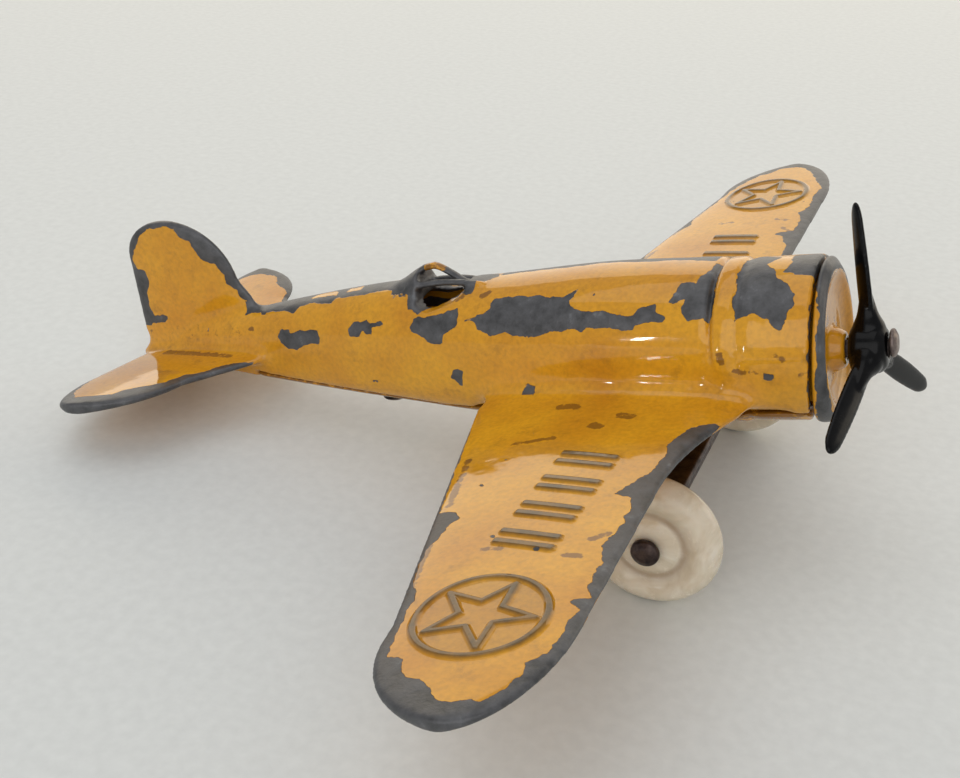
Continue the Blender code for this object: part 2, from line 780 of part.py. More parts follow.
def main():
    clear_scene()
    root = bpy.data.objects.new("airframe", None)
    bpy.context.scene.collection.objects.link(root)
    enamel = finish("yellow_enamel", (0.58, 0.28, 0.03), 0.0, 0.25)
    bare = finish("bare_zinc", (0.09, 0.095, 0.10), 0.7, 0.5)
    steel = finish("browned_steel", (0.05, 0.04, 0.04), 0.8, 0.45)
    black = finish("black_plastic", (0.01, 0.01, 0.01), 0.0, 0.2)
    pearl = finish("pearl_plastic", (0.62, 0.54, 0.44), 0.0, 0.2)
    body_casting(root, enamel)
    belly_casting(root, enamel)
    engine_casting(root, bare)
    propeller(root, black)
    propeller_pin(root, steel)
    gear_bracket(root, steel)
    axle_rod(root, steel)
    wheel("wheel_left", 1, root, pearl)
    wheel("wheel_right", -1, root, pearl)
    rivet("rivet_front", WHEEL_X, bracket_top() - BRACKET_THICK, root, steel)
    rivet("rivet_rear", REAR_RIVET_X, belly_bottom(REAR_RIVET_X), root, steel)
    stand_on_floor(root)
    report_joints(root)


main()
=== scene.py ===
# %% [markdown]
# # A die-cast toy airplane in chipped enamel
# The toy is a zinc casting about 110 mm across, sprayed with orange-yellow enamel and then played with until
# the paint left every edge. Two plastic wheels, a plastic propeller and a few steel pieces are the rest.
# This lesson loads the measured model as a frame, builds each piece again at the fineness that a close view
# needs, and gives each its finish. The frame says where everything is and what moves.

import bpy
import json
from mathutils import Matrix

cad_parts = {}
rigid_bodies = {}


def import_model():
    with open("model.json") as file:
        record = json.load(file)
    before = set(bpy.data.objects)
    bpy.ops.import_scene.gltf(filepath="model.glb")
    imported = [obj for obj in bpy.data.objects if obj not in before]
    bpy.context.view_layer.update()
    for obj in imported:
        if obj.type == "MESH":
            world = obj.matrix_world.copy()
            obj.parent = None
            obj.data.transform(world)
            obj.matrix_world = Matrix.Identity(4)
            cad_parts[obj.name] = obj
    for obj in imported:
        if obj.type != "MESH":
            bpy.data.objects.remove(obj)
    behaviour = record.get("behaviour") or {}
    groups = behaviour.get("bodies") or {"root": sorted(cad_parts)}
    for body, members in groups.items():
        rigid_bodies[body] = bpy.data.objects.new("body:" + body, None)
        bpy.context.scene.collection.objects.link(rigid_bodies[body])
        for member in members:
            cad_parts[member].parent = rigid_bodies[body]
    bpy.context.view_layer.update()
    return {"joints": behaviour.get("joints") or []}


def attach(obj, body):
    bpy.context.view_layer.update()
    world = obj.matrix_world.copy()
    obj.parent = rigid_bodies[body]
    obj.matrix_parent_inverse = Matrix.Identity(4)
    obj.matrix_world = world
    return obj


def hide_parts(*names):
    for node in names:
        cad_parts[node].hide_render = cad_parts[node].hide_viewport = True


for left_over in list(bpy.data.objects):
    bpy.data.objects.remove(left_over)

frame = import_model()

import json
import math

import bmesh
import numpy as np
from mathutils import Matrix, Vector

MM = 0.001

# %% [markdown]
# The pieces are easiest to describe in the airframe's own directions: +X along the propeller shaft, +Y to
# port and +Z up, in millimetres. On the table the toy leans back on its tail, so that frame is tilted.
# The propeller's axis gives the tilt, and the left wheel's axle gives the place.

# %% Find the airframe in the world
joints = {joint["name"]: joint for joint in frame["joints"]}
thrust = Vector(joints["propeller_spin"]["axis"])
WHEEL_X, TRACK, AXLE_Z = 11.4, 32.4, -11.9
tilt = Matrix.Rotation(-math.atan2(thrust.z, thrust.x), 4, "Y")
axle_end = Vector((WHEEL_X, TRACK / 2, AXLE_Z)) * MM
AIRFRAME = Matrix.Translation(Vector(joints["wheel_left_spin"]["pos_m"]) - tilt @ axle_end) @ tilt
print("nose up by", round(math.degrees(math.atan2(thrust.z, thrust.x)), 2), "degrees")

# %% [markdown]
# ## Mesh helpers
# Nearly everything here is a loft: rings of points joined by quads and capped. A turned piece is a loft
# of circles. `finished` puts a mesh, made in airframe millimetres, in its place and rides it on its body.


# %% Lofts and turned shapes
def loft(rings, nose=None):
    """A closed mesh through rings of equal point counts; a nose point fans the last ring."""
    shape = bmesh.new()
    rows = [[shape.verts.new(point) for point in ring] for ring in rings]
    count = len(rows[0])
    for before, after in zip(rows, rows[1:]):
        for i in range(count):
            j = (i + 1) % count
            shape.faces.new((before[i], before[j], after[j], after[i]))
    shape.faces.new(rows[0])
    if nose is None:
        shape.faces.new(list(reversed(rows[-1])))
    else:
        middle = shape.verts.new(nose)
        for i in range(count):
            shape.faces.new((middle, rows[-1][i], rows[-1][(i + 1) % count]))
    bmesh.ops.recalc_face_normals(shape, faces=shape.faces)
    mesh = bpy.data.meshes.new("loft")
    shape.to_mesh(mesh)
    shape.free()
    return mesh


def turned(profile, axis, sides=96, centre=(0.0, 0.0, 0.0)):
    """A mesh turned about an axis from (along, radius) points."""
    first, second, along_axis = {"X": (1, 2, 0), "Y": (0, 2, 1), "Z": (0, 1, 2)}[axis]
    rings = []
    for along, radius in profile:
        ring = []
        for i in range(sides):
            angle = 2 * math.pi * i / sides
            point = list(centre)
            point[first] += radius * math.cos(angle)
            point[second] += radius * math.sin(angle)
            point[along_axis] += along
            ring.append(point)
        rings.append(ring)
    return loft(rings)


def slab(outline, low, high):
    """An outline in (x, z), extruded along Y."""
    return loft([[(x, y, z) for x, z in outline] for y in (low, high)])


def eased(corners, radius, steps=5):
    """The same open run of (along, radius) points with each inner corner rounded."""
    points = [Vector(corner) for corner in corners]
    run = [points[0]]
    for before, corner, after in zip(points, points[1:], points[2:]):
        reach = min(radius, (before - corner).length * 0.45, (after - corner).length * 0.45)
        start = corner + (before - corner).normalized() * reach
        end = corner + (after - corner).normalized() * reach
        for i in range(steps + 1):
            t = i / steps
            run.append(start * (1 - t) ** 2 + corner * (2 * t * (1 - t)) + end * t**2)
    run.append(points[-1])
    return [tuple(point) for point in run]


# %% Mesh operations
def object_from(mesh, name="work"):
    made = bpy.data.objects.new(name, mesh)
    bpy.context.scene.collection.objects.link(made)
    return made


def settled(work):
    """The object's mesh with its modifiers applied; the working object is removed."""
    bpy.context.view_layer.update()
    graph = bpy.context.evaluated_depsgraph_get()
    mesh = bpy.data.meshes.new_from_object(work.evaluated_get(graph))
    bpy.data.objects.remove(work)
    return mesh


def combined(base, steps):
    """The base mesh with each (operation, mesh) Boolean step applied in turn."""
    work = object_from(base)
    tools = []
    for operation, mesh in steps:
        tool = object_from(mesh, "tool")
        tools.append(tool)
        change = work.modifiers.new(operation, "BOOLEAN")
        change.operation = operation
        change.object = tool
        change.solver = "EXACT"
    mesh = settled(work)
    for tool in tools:
        bpy.data.objects.remove(tool)
    return mesh


def remeshed(mesh, voxel):
    """One even skin of quads over the mesh, a voxel apart."""
    work = object_from(mesh)
    change = work.modifiers.new("skin", "REMESH")
    change.mode = "VOXEL"
    change.voxel_size = voxel
    return settled(work)


def points_of(mesh):
    points = np.empty(len(mesh.vertices) * 3)
    mesh.vertices.foreach_get("co", points)
    return points.reshape(-1, 3)


def edges_of(mesh):
    edges = np.empty(len(mesh.edges) * 2, int)
    mesh.edges.foreach_get("vertices", edges)
    return edges.reshape(-1, 2)


def normals_of(mesh):
    normals = np.empty(len(mesh.vertices) * 3)
    mesh.vertices.foreach_get("normal", normals)
    return normals.reshape(-1, 3)


def move_points(mesh, points):
    mesh.vertices.foreach_set("co", points.reshape(-1))
    mesh.update()


def spread(values, edges, rounds, weight=None):
    """Averages values between neighbours, round by round; weight 0 holds a point still."""
    values = np.array(values, float)
    flat = values.ndim == 1
    values = values.reshape(len(values), -1)
    weight = np.ones(len(values)) if weight is None else weight
    edges = edges[(weight[edges] > 0).any(axis=1)]
    first, second = edges.T
    degree = np.bincount(edges.reshape(-1), minlength=len(values)).clip(1)[:, None]
    share = (0.5 * weight)[:, None]
    for _ in range(rounds):
        total = np.empty_like(values)
        for k in range(values.shape[1]):
            total[:, k] = np.bincount(first, values[second, k], len(values))
            total[:, k] += np.bincount(second, values[first, k], len(values))
        values += share * (total / degree - values)
    return values[:, 0] if flat else values


def skinned(mesh, voxel, rounds):
    """One even skin over the mesh, relaxed for some rounds, which softens every corner."""
    mesh = remeshed(mesh, voxel)
    move_points(mesh, spread(points_of(mesh), edges_of(mesh), rounds))
    return mesh


def note(mesh, name, values):
    """Stores one number per vertex, for a material to read."""
    mesh.attributes.new(name, "FLOAT", "POINT").data.foreach_set("value", np.asarray(values, np.float32))


def note_hollows(mesh, rounds=6):
    """Notes 'hollow': how far each point lies in a groove (above 0) or on a ridge (below 0), in mm."""
    points, edges = points_of(mesh), edges_of(mesh)
    away = spread(points, edges, rounds) - points
    note(mesh, "hollow", spread((away * normals_of(mesh)).sum(axis=1), edges, 2))


# %% Finishing a piece
def finished(name, mesh, body, nodes, material, sharp=None):
    """Puts a mesh made in airframe mm in the world, in place of its CAD nodes and riding on its body."""
    mesh.transform(AIRFRAME @ Matrix.Scale(MM, 4))
    mesh.shade_smooth()
    if sharp is not None:
        mesh.set_sharp_from_angle(angle=math.radians(sharp))
    mesh.materials.clear()
    mesh.materials.append(material)
    piece = object_from(mesh, name)
    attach(piece, body)
    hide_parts(*nodes)
    print(name, len(mesh.polygons), "faces")
    return piece


# %% [markdown]
# ## Colours and nodes
# Colours are written as the hex values that a paint chart would give, and one function turns them into the
# linear numbers that the shader wants. One function adds any node with its settings and links.


# %% Colour and node helpers
def colour(hex_value):
    parts = [int(hex_value[i : i + 2], 16) / 255 for i in (1, 3, 5)]
    linear = [part / 12.92 if part <= 0.04045 else ((part + 0.055) / 1.055) ** 2.4 for part in parts]
    return (*linear, 1.0)


def add(tree, kind, inputs=None, **settings):
    """Adds a node. An input may be a number, a socket, or a node, which stands for its first output."""
    made = tree.nodes.new(kind)
    for name, value in settings.items():
        setattr(made, name, value)
    for socket, value in (inputs or {}).items():
        if isinstance(value, bpy.types.Node):
            value = value.outputs[0]
        if isinstance(value, bpy.types.NodeSocket):
            tree.links.new(value, made.inputs[socket])
        else:
            made.inputs[socket].default_value = value
    return made


def new_material(name):
    material = bpy.data.materials.new(name)
    material.use_nodes = True
    tree = material.node_tree
    tree.nodes.clear()
    return material, tree


def every_mm(size):
    """The scale of a pattern that repeats about every so many millimetres."""
    return 1.0 / (size * MM)


# %% [markdown]
# ## Glossy enamel, chipped to zinc
# The finish is a stoving enamel sprayed straight on the casting: a warm orange-yellow with a hard gloss.
# Where it was knocked it came off in flakes with ragged edges, and the bare zinc beneath has turned dark and
# dull. The mesh carries `bare`, the distance in millimetres inside a flaked area, and noise frays its edge.
# Grime and painted shade sit in the hollows, some stains are painted shade under edges and in creases, and
# the raised lines have lost some of their colour to rubbing.

# %% Enamel material
ENAMEL = colour("#E4A422")
ENAMEL_DEEP = colour("#D08D1C")
ENAMEL_GRIME_AND_SHADE = colour("#70481A")
RUBBED = colour("#57421D")
ZINC = colour("#68686A")
ZINC_LIGHT = colour("#85888A")
ZINC_DARK = colour("#434343")


# %% Where the paint is gone
def flaked(tree, place):
    """0 on paint and 1 on bare metal."""
    bare = add(tree, "ShaderNodeAttribute", attribute_name="bare").outputs["Fac"]
    # the flakes' edges wander by about a quarter of a millimetre
    fray = add(
        tree, "ShaderNodeTexNoise", {"Vector": place, "Scale": every_mm(1.2), "Detail": 3.0, "Roughness": 0.5}
    )
    fray = add(
        tree, "ShaderNodeMapRange",
        {"Value": fray, "From Min": 0.25, "From Max": 0.75, "To Min": -0.26, "To Max": 0.2}, clamp=False
    )
    ragged = add(tree, "ShaderNodeMath", {0: bare, 1: fray}, operation="ADD")
    chip = add(tree, "ShaderNodeMapRange", {"Value": ragged, "From Min": -0.02, "From Max": 0.02})
    # pin-prick chips, a few to the square centimetre
    prick = add(
        tree, "ShaderNodeTexNoise", {"Vector": place, "Scale": every_mm(1.9), "Detail": 2.5, "Roughness": 0.5}
    )
    prick = add(tree, "ShaderNodeMapRange", {"Value": prick, "From Min": 0.755, "From Max": 0.765})
    return add(tree, "ShaderNodeMath", {0: chip, 1: prick}, operation="MAXIMUM")


# %% Dirt and painted shade on the paint
def dirt_and_shade_on_paint(tree, place, smut):
    """How dark the paint turns: dirt specks anywhere, grime and painted shade in hollows, most in stains and
    painted shade.
    """
    hollow = add(tree, "ShaderNodeAttribute", attribute_name="hollow").outputs["Fac"]
    stain_and_shade = add(tree, "ShaderNodeAttribute", attribute_name="stain_and_shade").outputs["Fac"]
    specks = add(
        tree, "ShaderNodeMapRange", {"Value": smut, "From Min": 0.56, "From Max": 0.78, "To Max": 0.5}
    )
    # grime and painted shade: darker in the grooves and hollows
    hollow_grime_and_shade = add(
        tree, "ShaderNodeMapRange", {"Value": hollow, "From Min": 0.012, "From Max": 0.09, "To Max": 0.75}
    )
    dirt_and_shade = add(tree, "ShaderNodeMath", {0: specks, 1: hollow_grime_and_shade}, operation="MAXIMUM")
    blot = add(
        tree, "ShaderNodeTexNoise",
        {"Vector": place, "Scale": every_mm(0.9), "Detail": 4.0, "Roughness": 0.65}
    )
    blot = add(
        tree, "ShaderNodeMapRange",
        {"Value": blot, "From Min": 0.3, "From Max": 0.7, "To Min": -0.5, "To Max": 0.5}
    )
    stained_and_shaded = add(tree, "ShaderNodeMath", {0: blot, 1: stain_and_shade}, operation="ADD")
    stained_and_shaded = add(
        tree, "ShaderNodeMapRange", {"Value": stained_and_shaded, "From Min": 0.5, "From Max": 0.85, "To Max": 0.8}
    )
    return add(tree, "ShaderNodeMath", {0: dirt_and_shade, 1: stained_and_shaded}, operation="MAXIMUM")


# %% The paint's colour
def paint_colour(tree, place, smut):
    """Deeper where the coat is thick, then dirt and painted shade, then a fine grain, then the rubbed raised
    lines.
    """
    depth = add(tree, "ShaderNodeTexNoise", {"Vector": place, "Scale": every_mm(9.0), "Detail": 3.0})
    depth = add(tree, "ShaderNodeMapRange", {"Value": depth, "From Min": 0.35, "From Max": 0.68})
    grain = add(tree, "ShaderNodeTexNoise", {"Vector": place, "Scale": every_mm(0.45), "Detail": 3.0})
    grain = add(
        tree, "ShaderNodeMapRange", {"Value": grain, "From Min": 0.35, "From Max": 0.7, "To Max": 0.22}
    )
    relief = add(tree, "ShaderNodeAttribute", attribute_name="relief").outputs["Fac"]
    rub = add(
        tree, "ShaderNodeMapRange",
        {"Value": smut, "From Min": 0.3, "From Max": 0.6, "To Min": 0.7, "To Max": 1.0}
    )
    rub = add(tree, "ShaderNodeMath", {0: rub, 1: relief}, operation="MULTIPLY")
    paint = ENAMEL
    dirt_and_shade = dirt_and_shade_on_paint(tree, place, smut)
    for share, tone in ((depth, ENAMEL_DEEP), (dirt_and_shade, ENAMEL_GRIME_AND_SHADE), (grain, ENAMEL_GRIME_AND_SHADE), (rub, RUBBED)):
        paint = add(tree, "ShaderNodeMix", {0: share, 6: paint, 7: tone}, data_type="RGBA").outputs[2]
    return paint


# %% The zinc's colour
def zinc_colour(tree, mottle):
    """Bare zinc, mottled where it has oxidised and bright where it was knocked lately."""
    dull = add(tree, "ShaderNodeMapRange", {"Value": mottle, "From Min": 0.3, "From Max": 0.72})
    zinc = add(tree, "ShaderNodeMix", {0: dull, 6: ZINC_DARK, 7: ZINC}, data_type="RGBA").outputs[2]
    bright = add(tree, "ShaderNodeMapRange", {"Value": mottle, "From Min": 0.62, "From Max": 0.8})
    return add(tree, "ShaderNodeMix", {0: bright, 6: zinc, 7: ZINC_LIGHT}, data_type="RGBA").outputs[2]


# %% The whole finish
def enamel_material(name):
    material, tree = new_material(name)
    place = add(tree, "ShaderNodeTexCoord").outputs["Object"]
    smut = add(
        tree, "ShaderNodeTexNoise", {"Vector": place, "Scale": every_mm(2.4), "Detail": 6.0, "Roughness": 0.7}
    )
    mottle = add(
        tree, "ShaderNodeTexNoise",
        {"Vector": place, "Scale": every_mm(1.6), "Detail": 7.0, "Roughness": 0.65}
    )
    chips, paint, zinc = flaked(tree, place), paint_colour(tree, place, smut), zinc_colour(tree, mottle)
    base = add(tree, "ShaderNodeMix", {0: chips, 6: paint, 7: zinc}, data_type="RGBA").outputs[2]
    gloss = add(
        tree, "ShaderNodeMapRange",
        {"Value": smut, "From Min": 0.3, "From Max": 0.8, "To Min": 0.03, "To Max": 0.1}
    )
    dullness = add(
        tree, "ShaderNodeMapRange",
        {"Value": mottle, "From Min": 0.3, "From Max": 0.7, "To Min": 0.3, "To Max": 0.5}
    )
    rough = add(tree, "ShaderNodeMix", {0: chips, 2: gloss, 3: dullness})
    metal = add(tree, "ShaderNodeMath", {0: chips, 1: 0.55}, operation="MULTIPLY")
    # the paint is a tenth of a millimetre thick; its skin has a faint orange peel
    peel = add(tree, "ShaderNodeTexNoise", {"Vector": place, "Scale": every_mm(3.2), "Detail": 2.0})
    swell = add(tree, "ShaderNodeBump", {"Height": peel, "Strength": 0.25, "Distance": 0.12 * MM})
    pits = add(
        tree, "ShaderNodeBump", {"Height": mottle, "Strength": chips, "Distance": 0.10 * MM, "Normal": swell}
    )
    painted = add(tree, "ShaderNodeMath", {0: 1.0, 1: chips}, operation="SUBTRACT")
    step = add(
        tree, "ShaderNodeBump", {"Height": painted, "Strength": 0.8, "Distance": 0.10 * MM, "Normal": pits}
    )
    surface = add(
        tree, "ShaderNodeBsdfPrincipled",
        {"Base Color": base, "Roughness": rough, "Metallic": metal, "Normal": step}
    )
    add(tree, "ShaderNodeOutputMaterial", {"Surface": surface})
    return material


enamel = enamel_material("stoved_enamel_on_zinc")
print(enamel.name, len(enamel.node_tree.nodes), "nodes")

# %% [markdown]
# ## Browned steel
# The axle, gear strip, pin and rivets are mild steel gone brown with age and oil. The brown is a thin oxide,
# so the metal still shines through, more so where fingers rub it.


# %% Steel material
def steel_material(name, light, dark):
    material, tree = new_material(name)
    place = add(tree, "ShaderNodeTexCoord").outputs["Object"]
    rust = add(
        tree, "ShaderNodeTexNoise", {"Vector": place, "Scale": every_mm(1.1), "Detail": 7.0, "Roughness": 0.7}
    )
    patchy = add(tree, "ShaderNodeMapRange", {"Value": rust, "From Min": 0.35, "From Max": 0.65})
    base = add(tree, "ShaderNodeMix", {0: patchy, 6: dark, 7: light}, data_type="RGBA").outputs[2]
    rough = add(
        tree, "ShaderNodeMapRange",
        {"Value": rust, "From Min": 0.3, "From Max": 0.7, "To Min": 0.55, "To Max": 0.3}
    )
    bump = add(tree, "ShaderNodeBump", {"Height": rust, "Strength": 0.5, "Distance": 0.05 * MM})
    surface = add(
        tree, "ShaderNodeBsdfPrincipled",
        {"Base Color": base, "Roughness": rough, "Metallic": 0.85, "Normal": bump}
    )
    add(tree, "ShaderNodeOutputMaterial", {"Surface": surface})
    return material


browned = steel_material("browned_mild_steel", colour("#5A4C46"), colour("#2A2326"))
worn_steel = steel_material("worn_steel_pin", colour("#8D8078"), colour("#54494A"))

# %% [markdown]
# ## Black polystyrene
# The propeller is moulded in glossy black polystyrene. The gloss is what the eye sees, with a little dust
# and a haze of fine rubbing that makes the black slightly grey in places.

# %% Black plastic material
black_plastic, tree = new_material("black_polystyrene")
place = add(tree, "ShaderNodeTexCoord").outputs["Object"]
haze = add(
    tree, "ShaderNodeTexNoise", {"Vector": place, "Scale": every_mm(1.4), "Detail": 6.0, "Roughness": 0.65}
)
dust = add(tree, "ShaderNodeMapRange", {"Value": haze, "From Min": 0.45, "From Max": 0.8})
base = add(
    tree, "ShaderNodeMix", {0: dust, 6: colour("#040405"), 7: colour("#0D0C0B")}, data_type="RGBA"
).outputs[2]
rough = add(
    tree, "ShaderNodeMapRange",
    {"Value": haze, "From Min": 0.3, "From Max": 0.75, "To Min": 0.12, "To Max": 0.32}
)
bump = add(tree, "ShaderNodeBump", {"Height": haze, "Strength": 0.3, "Distance": 0.04 * MM})
surface = add(
    tree, "ShaderNodeBsdfPrincipled",
    {"Base Color": base, "Roughness": rough, "IOR": 1.59, "Specular IOR Level": 0.14, "Normal": bump}
)
add(tree, "ShaderNodeOutputMaterial", {"Surface": surface})

# %% [markdown]
# ## Pearl acetate
# The wheels are an off-white plastic with a pearly swirl, a little translucent, polished on the tread. Years
# of handling have left brown dirt in the dish, and painted shade in the dish's hollow shares that brown.
# Light goes a short way into the plastic, so it has some scatter beneath its skin, and the swirl is a
# stretched, distorted noise.

# %% Pearl plastic material
pearl, tree = new_material("pearl_acetate")
place = add(tree, "ShaderNodeTexCoord").outputs["Object"]
hollow = add(tree, "ShaderNodeAttribute", attribute_name="hollow").outputs["Fac"]
swirl = add(
    tree, "ShaderNodeTexNoise",
    {"Vector": place, "Scale": every_mm(5.0), "Detail": 4.0, "Roughness": 0.55, "Distortion": 2.2}
)
cloud = add(tree, "ShaderNodeMapRange", {"Value": swirl, "From Min": 0.3, "From Max": 0.7})
base = add(
    tree, "ShaderNodeMix", {0: cloud, 6: colour("#D2C1A5"), 7: colour("#EADFCB")}, data_type="RGBA"
).outputs[2]
# dirt and painted shade: brown in the dish's hollow
dirt_and_shade = add(tree, "ShaderNodeMapRange", {"Value": hollow, "From Min": 0.004, "From Max": 0.05, "To Max": 0.65})
base = add(tree, "ShaderNodeMix", {0: dirt_and_shade, 6: base, 7: colour("#A08468")}, data_type="RGBA").outputs[2]
speck = add(
    tree, "ShaderNodeTexNoise", {"Vector": place, "Scale": every_mm(0.9), "Detail": 4.0, "Roughness": 0.7}
)
rough = add(
    tree, "ShaderNodeMapRange",
    {"Value": speck, "From Min": 0.35, "From Max": 0.75, "To Min": 0.14, "To Max": 0.34}
)
bump = add(tree, "ShaderNodeBump", {"Height": swirl, "Strength": 0.25, "Distance": 0.08 * MM})
surface = add(
    tree, "ShaderNodeBsdfPrincipled",
    {
        "Base Color": base, "Roughness": rough, "IOR": 1.49, "Subsurface Weight": 0.25,
        "Subsurface Radius": (1.0, 0.7, 0.45), "Subsurface Scale": 1.2 * MM, "Normal": bump
    }
)
add(tree, "ShaderNodeOutputMaterial", {"Surface": surface})

# %% [markdown]
# ## The main casting's outer shape
# The fuselage is a run of rounded sections: half width, top and bottom at each station, with a smooth curve
# through them. The cowl in front is a plain barrel with a rib near its back.

# %% Fuselage sections
HULL = (
    (-55.4, 0.8, 1.6, -0.3), (-46.0, 2.1, 4.2, -1.2), (-36.6, 3.3, 5.6, -2.7), (-26.0, 4.6, 6.95, -4.3),
    (-18.0, 5.4, 7.6, -5.4), (-8.0, 6.4, 7.55, -6.7), (4.4, 7.2, 8.15, -7.2), (16.0, 7.5, 7.9, -7.3)
)
TAIL_X, FIREWALL_X = HULL[0][0], HULL[-1][0]
SIDES = 96
WALL = 1.3  # thickness of the hollow castings
FLAT_OVAL = 2.3  # power of the sections: 2 is an ellipse, more is squarer


def between(x, column):
    """A smooth curve through the stations' values, by cubic Hermite pieces."""
    xs = [station[0] for station in HULL]
    values = [station[column] for station in HULL]
    x = min(max(x, xs[0]), xs[-1])
    i = min(max(sum(station <= x for station in xs) - 1, 0), len(xs) - 2)

    def slope(k):
        a, b = max(k - 1, 0), min(k + 1, len(xs) - 1)
        return (values[b] - values[a]) / (xs[b] - xs[a])

    width = xs[i + 1] - xs[i]
    t = (x - xs[i]) / width
    start, end = 2 * t**3 - 3 * t**2 + 1, 3 * t**2 - 2 * t**3
    leave, arrive = (t**3 - 2 * t**2 + t) * width, (t**3 - t**2) * width
    return start * values[i] + leave * slope(i) + end * values[i + 1] + arrive * slope(i + 1)


def oval(x, half_width, top, bottom, power, bow=0.0, rake=0.0, sides=SIDES):
    """A ring of the hull; bow carries its sides forward, and rake its top forward and its foot back."""
    ring = []
    for i in range(sides):
        angle = 2 * math.pi * (i + 0.5) / sides
        across, up = math.cos(angle), math.sin(angle)
        y = half_width * math.copysign(abs(across) ** (2 / power), across)
        z = (top if up > 0 else -bottom) * math.copysign(abs(up) ** (2 / power), up)
        ring.append((x + bow * across**2 + rake * up, y, z))
    return ring


def hull(inset, start, end, count):
    rings = []
    for i in range(count + 1):
        x = start + (end - start) * i / count
        half_width, top, bottom = (between(x, column) for column in (1, 2, 3))
        rings.append(oval(x, half_width - inset, top - inset, bottom + inset, FLAT_OVAL))
    return rings


COWL_R = 7.85
COWL_FLAT = 0.93  # the underside is flatter than the top
COWL_FRONT = FIREWALL_X + 8.4
COWL_BOW, COWL_RAKE = 0.45, 0.78


def cowl_edge(y, z):
    """Where the cowl's front edge is, at each place around it."""
    return COWL_FRONT + COWL_BOW * (y / COWL_R) ** 2 + COWL_RAKE * z / COWL_R


def cowl_rings():
    rib = FIREWALL_X + 0.5
    profile = (
        (FIREWALL_X + 0.1, COWL_R - 0.7), (rib - 0.1, COWL_R - 0.6), (rib, COWL_R),
        (rib + 0.2, COWL_R + 0.15), (rib + 1.7, COWL_R + 0.15), (rib + 1.9, COWL_R - 0.15),
        (rib + 2.2, COWL_R - 0.15), (rib + 2.7, COWL_R)
    )
    rings = [oval(x, r, r, -r * COWL_FLAT, 2.0) for x, r in profile]
    rings.append(
        oval(COWL_FRONT - 1.5, COWL_R, COWL_R, -COWL_R * COWL_FLAT, 2.0, COWL_BOW * 0.6, COWL_RAKE * 0.6)
    )
    rings.append(oval(COWL_FRONT, COWL_R, COWL_R, -COWL_R * COWL_FLAT, 2.0, COWL_BOW, COWL_RAKE))
    return rings


def outer_hull():
    return loft(hull(0.0, TAIL_X, FIREWALL_X, 90) + cowl_rings(), (COWL_FRONT + 0.1, 0.0, 0.0))


def inner_hull():
    rings = hull(WALL, -33.0, FIREWALL_X, 30)
    inner, under = COWL_R - WALL, COWL_R * COWL_FLAT - WALL
    for x in (FIREWALL_X + 1.0, COWL_FRONT + 4.0):
        rings.append(oval(x, inner, inner, -under, 2.0))
    return loft(rings)


print("fuselage", round(COWL_FRONT - TAIL_X, 1), "mm long")

# %% [markdown]
# ## Wing, tailplane and fin
# Each is a thin plate with a rounded edge: oval sections from trailing to leading edge, whose outline turns
# on a quarter ellipse at the tip. The wing's leading edge sweeps forward into the fuselage at its root.

# %% Wing, tailplane and fin
HALF_SPAN, TAIL_SPAN, FIN_TOP = 55.5, 19.4, 16.5
ROOT_LEAD, LEAD_SWEEP = 15.1, 0.039  # the wing's leading edge at the middle, and its slope outward
ROOT_TRAIL, TRAIL_SWEEP = -9.9, 0.281
ROOT_FLARE, FLARE_END = 11.0, 24.0  # how far the leading edge runs forward at the root, and from where


def rounded(straight, tip, start, end, s):
    if s <= start:
        return straight(s)
    t = min((s - start) / (end - start), 1.0)
    return straight(start) + (tip - straight(start)) * (1 - math.sqrt(max(1 - t * t, 0.0)))


def plate_ring(lead, trail, thick, place, sides=48):
    ring = []
    for i in range(sides):
        angle = 2 * math.pi * i / sides
        x = (lead + trail) / 2 + (lead - trail) / 2 * math.cos(angle)
        offset = thick / 2 * math.copysign(abs(math.sin(angle)) ** 0.7, math.sin(angle))
        ring.append(place(x, offset if abs(offset) > 1e-9 else 0.0))
    return ring


def tip_steps(root, straight_end, tip, straight_count, round_count):
    steps = [root + (straight_end - root) * i / straight_count for i in range(straight_count)]
    for i in range(round_count):
        steps.append(straight_end + (tip - straight_end) * math.sin(math.pi / 2 * i / round_count))
    return steps + [tip - (tip - straight_end) * 0.002]


def lead_line(s):
    return ROOT_LEAD + LEAD_SWEEP * s


def root_flare(s):
    return ROOT_FLARE * (np.maximum(FLARE_END - s, 0.0) / FLARE_END) ** 2


def wing_lead(s):
    return rounded(lead_line, 11.2, HALF_SPAN - 10.8, HALF_SPAN, s) + float(root_flare(s))


def wing_trail(s):
    return rounded(lambda d: ROOT_TRAIL + TRAIL_SWEEP * d, 11.6, HALF_SPAN - 9.5, HALF_SPAN, s)


def wing_thick(s):
    return 2.2 - 1.0 * s / HALF_SPAN


def wing_middle(s):
    return -1.95 + 0.040 * s - wing_thick(s) / 2


def wing(side):
    rings = []
    for s in tip_steps(1.0, HALF_SPAN - 10.8, HALF_SPAN, 40, 30):
        slim = min(wing_thick(s), (wing_lead(s) - wing_trail(s)) * 0.8)
        middle = wing_middle(s)
        rings.append(
            plate_ring(wing_lead(s), wing_trail(s), slim, lambda x, o: (x, side * s, middle + o), 64)
        )
    return loft(rings)


TAIL_THICK = 1.4


def tail_middle(s):
    return 0.4 + 0.12 * s


def tail_lead(s):
    return rounded(lambda d: -32.4 - 0.75 * d, -50.0, TAIL_SPAN - 8.0, TAIL_SPAN, s)


def tail_trail(s):
    return rounded(lambda d: -55.0, -50.0, TAIL_SPAN - 9.0, TAIL_SPAN, s)


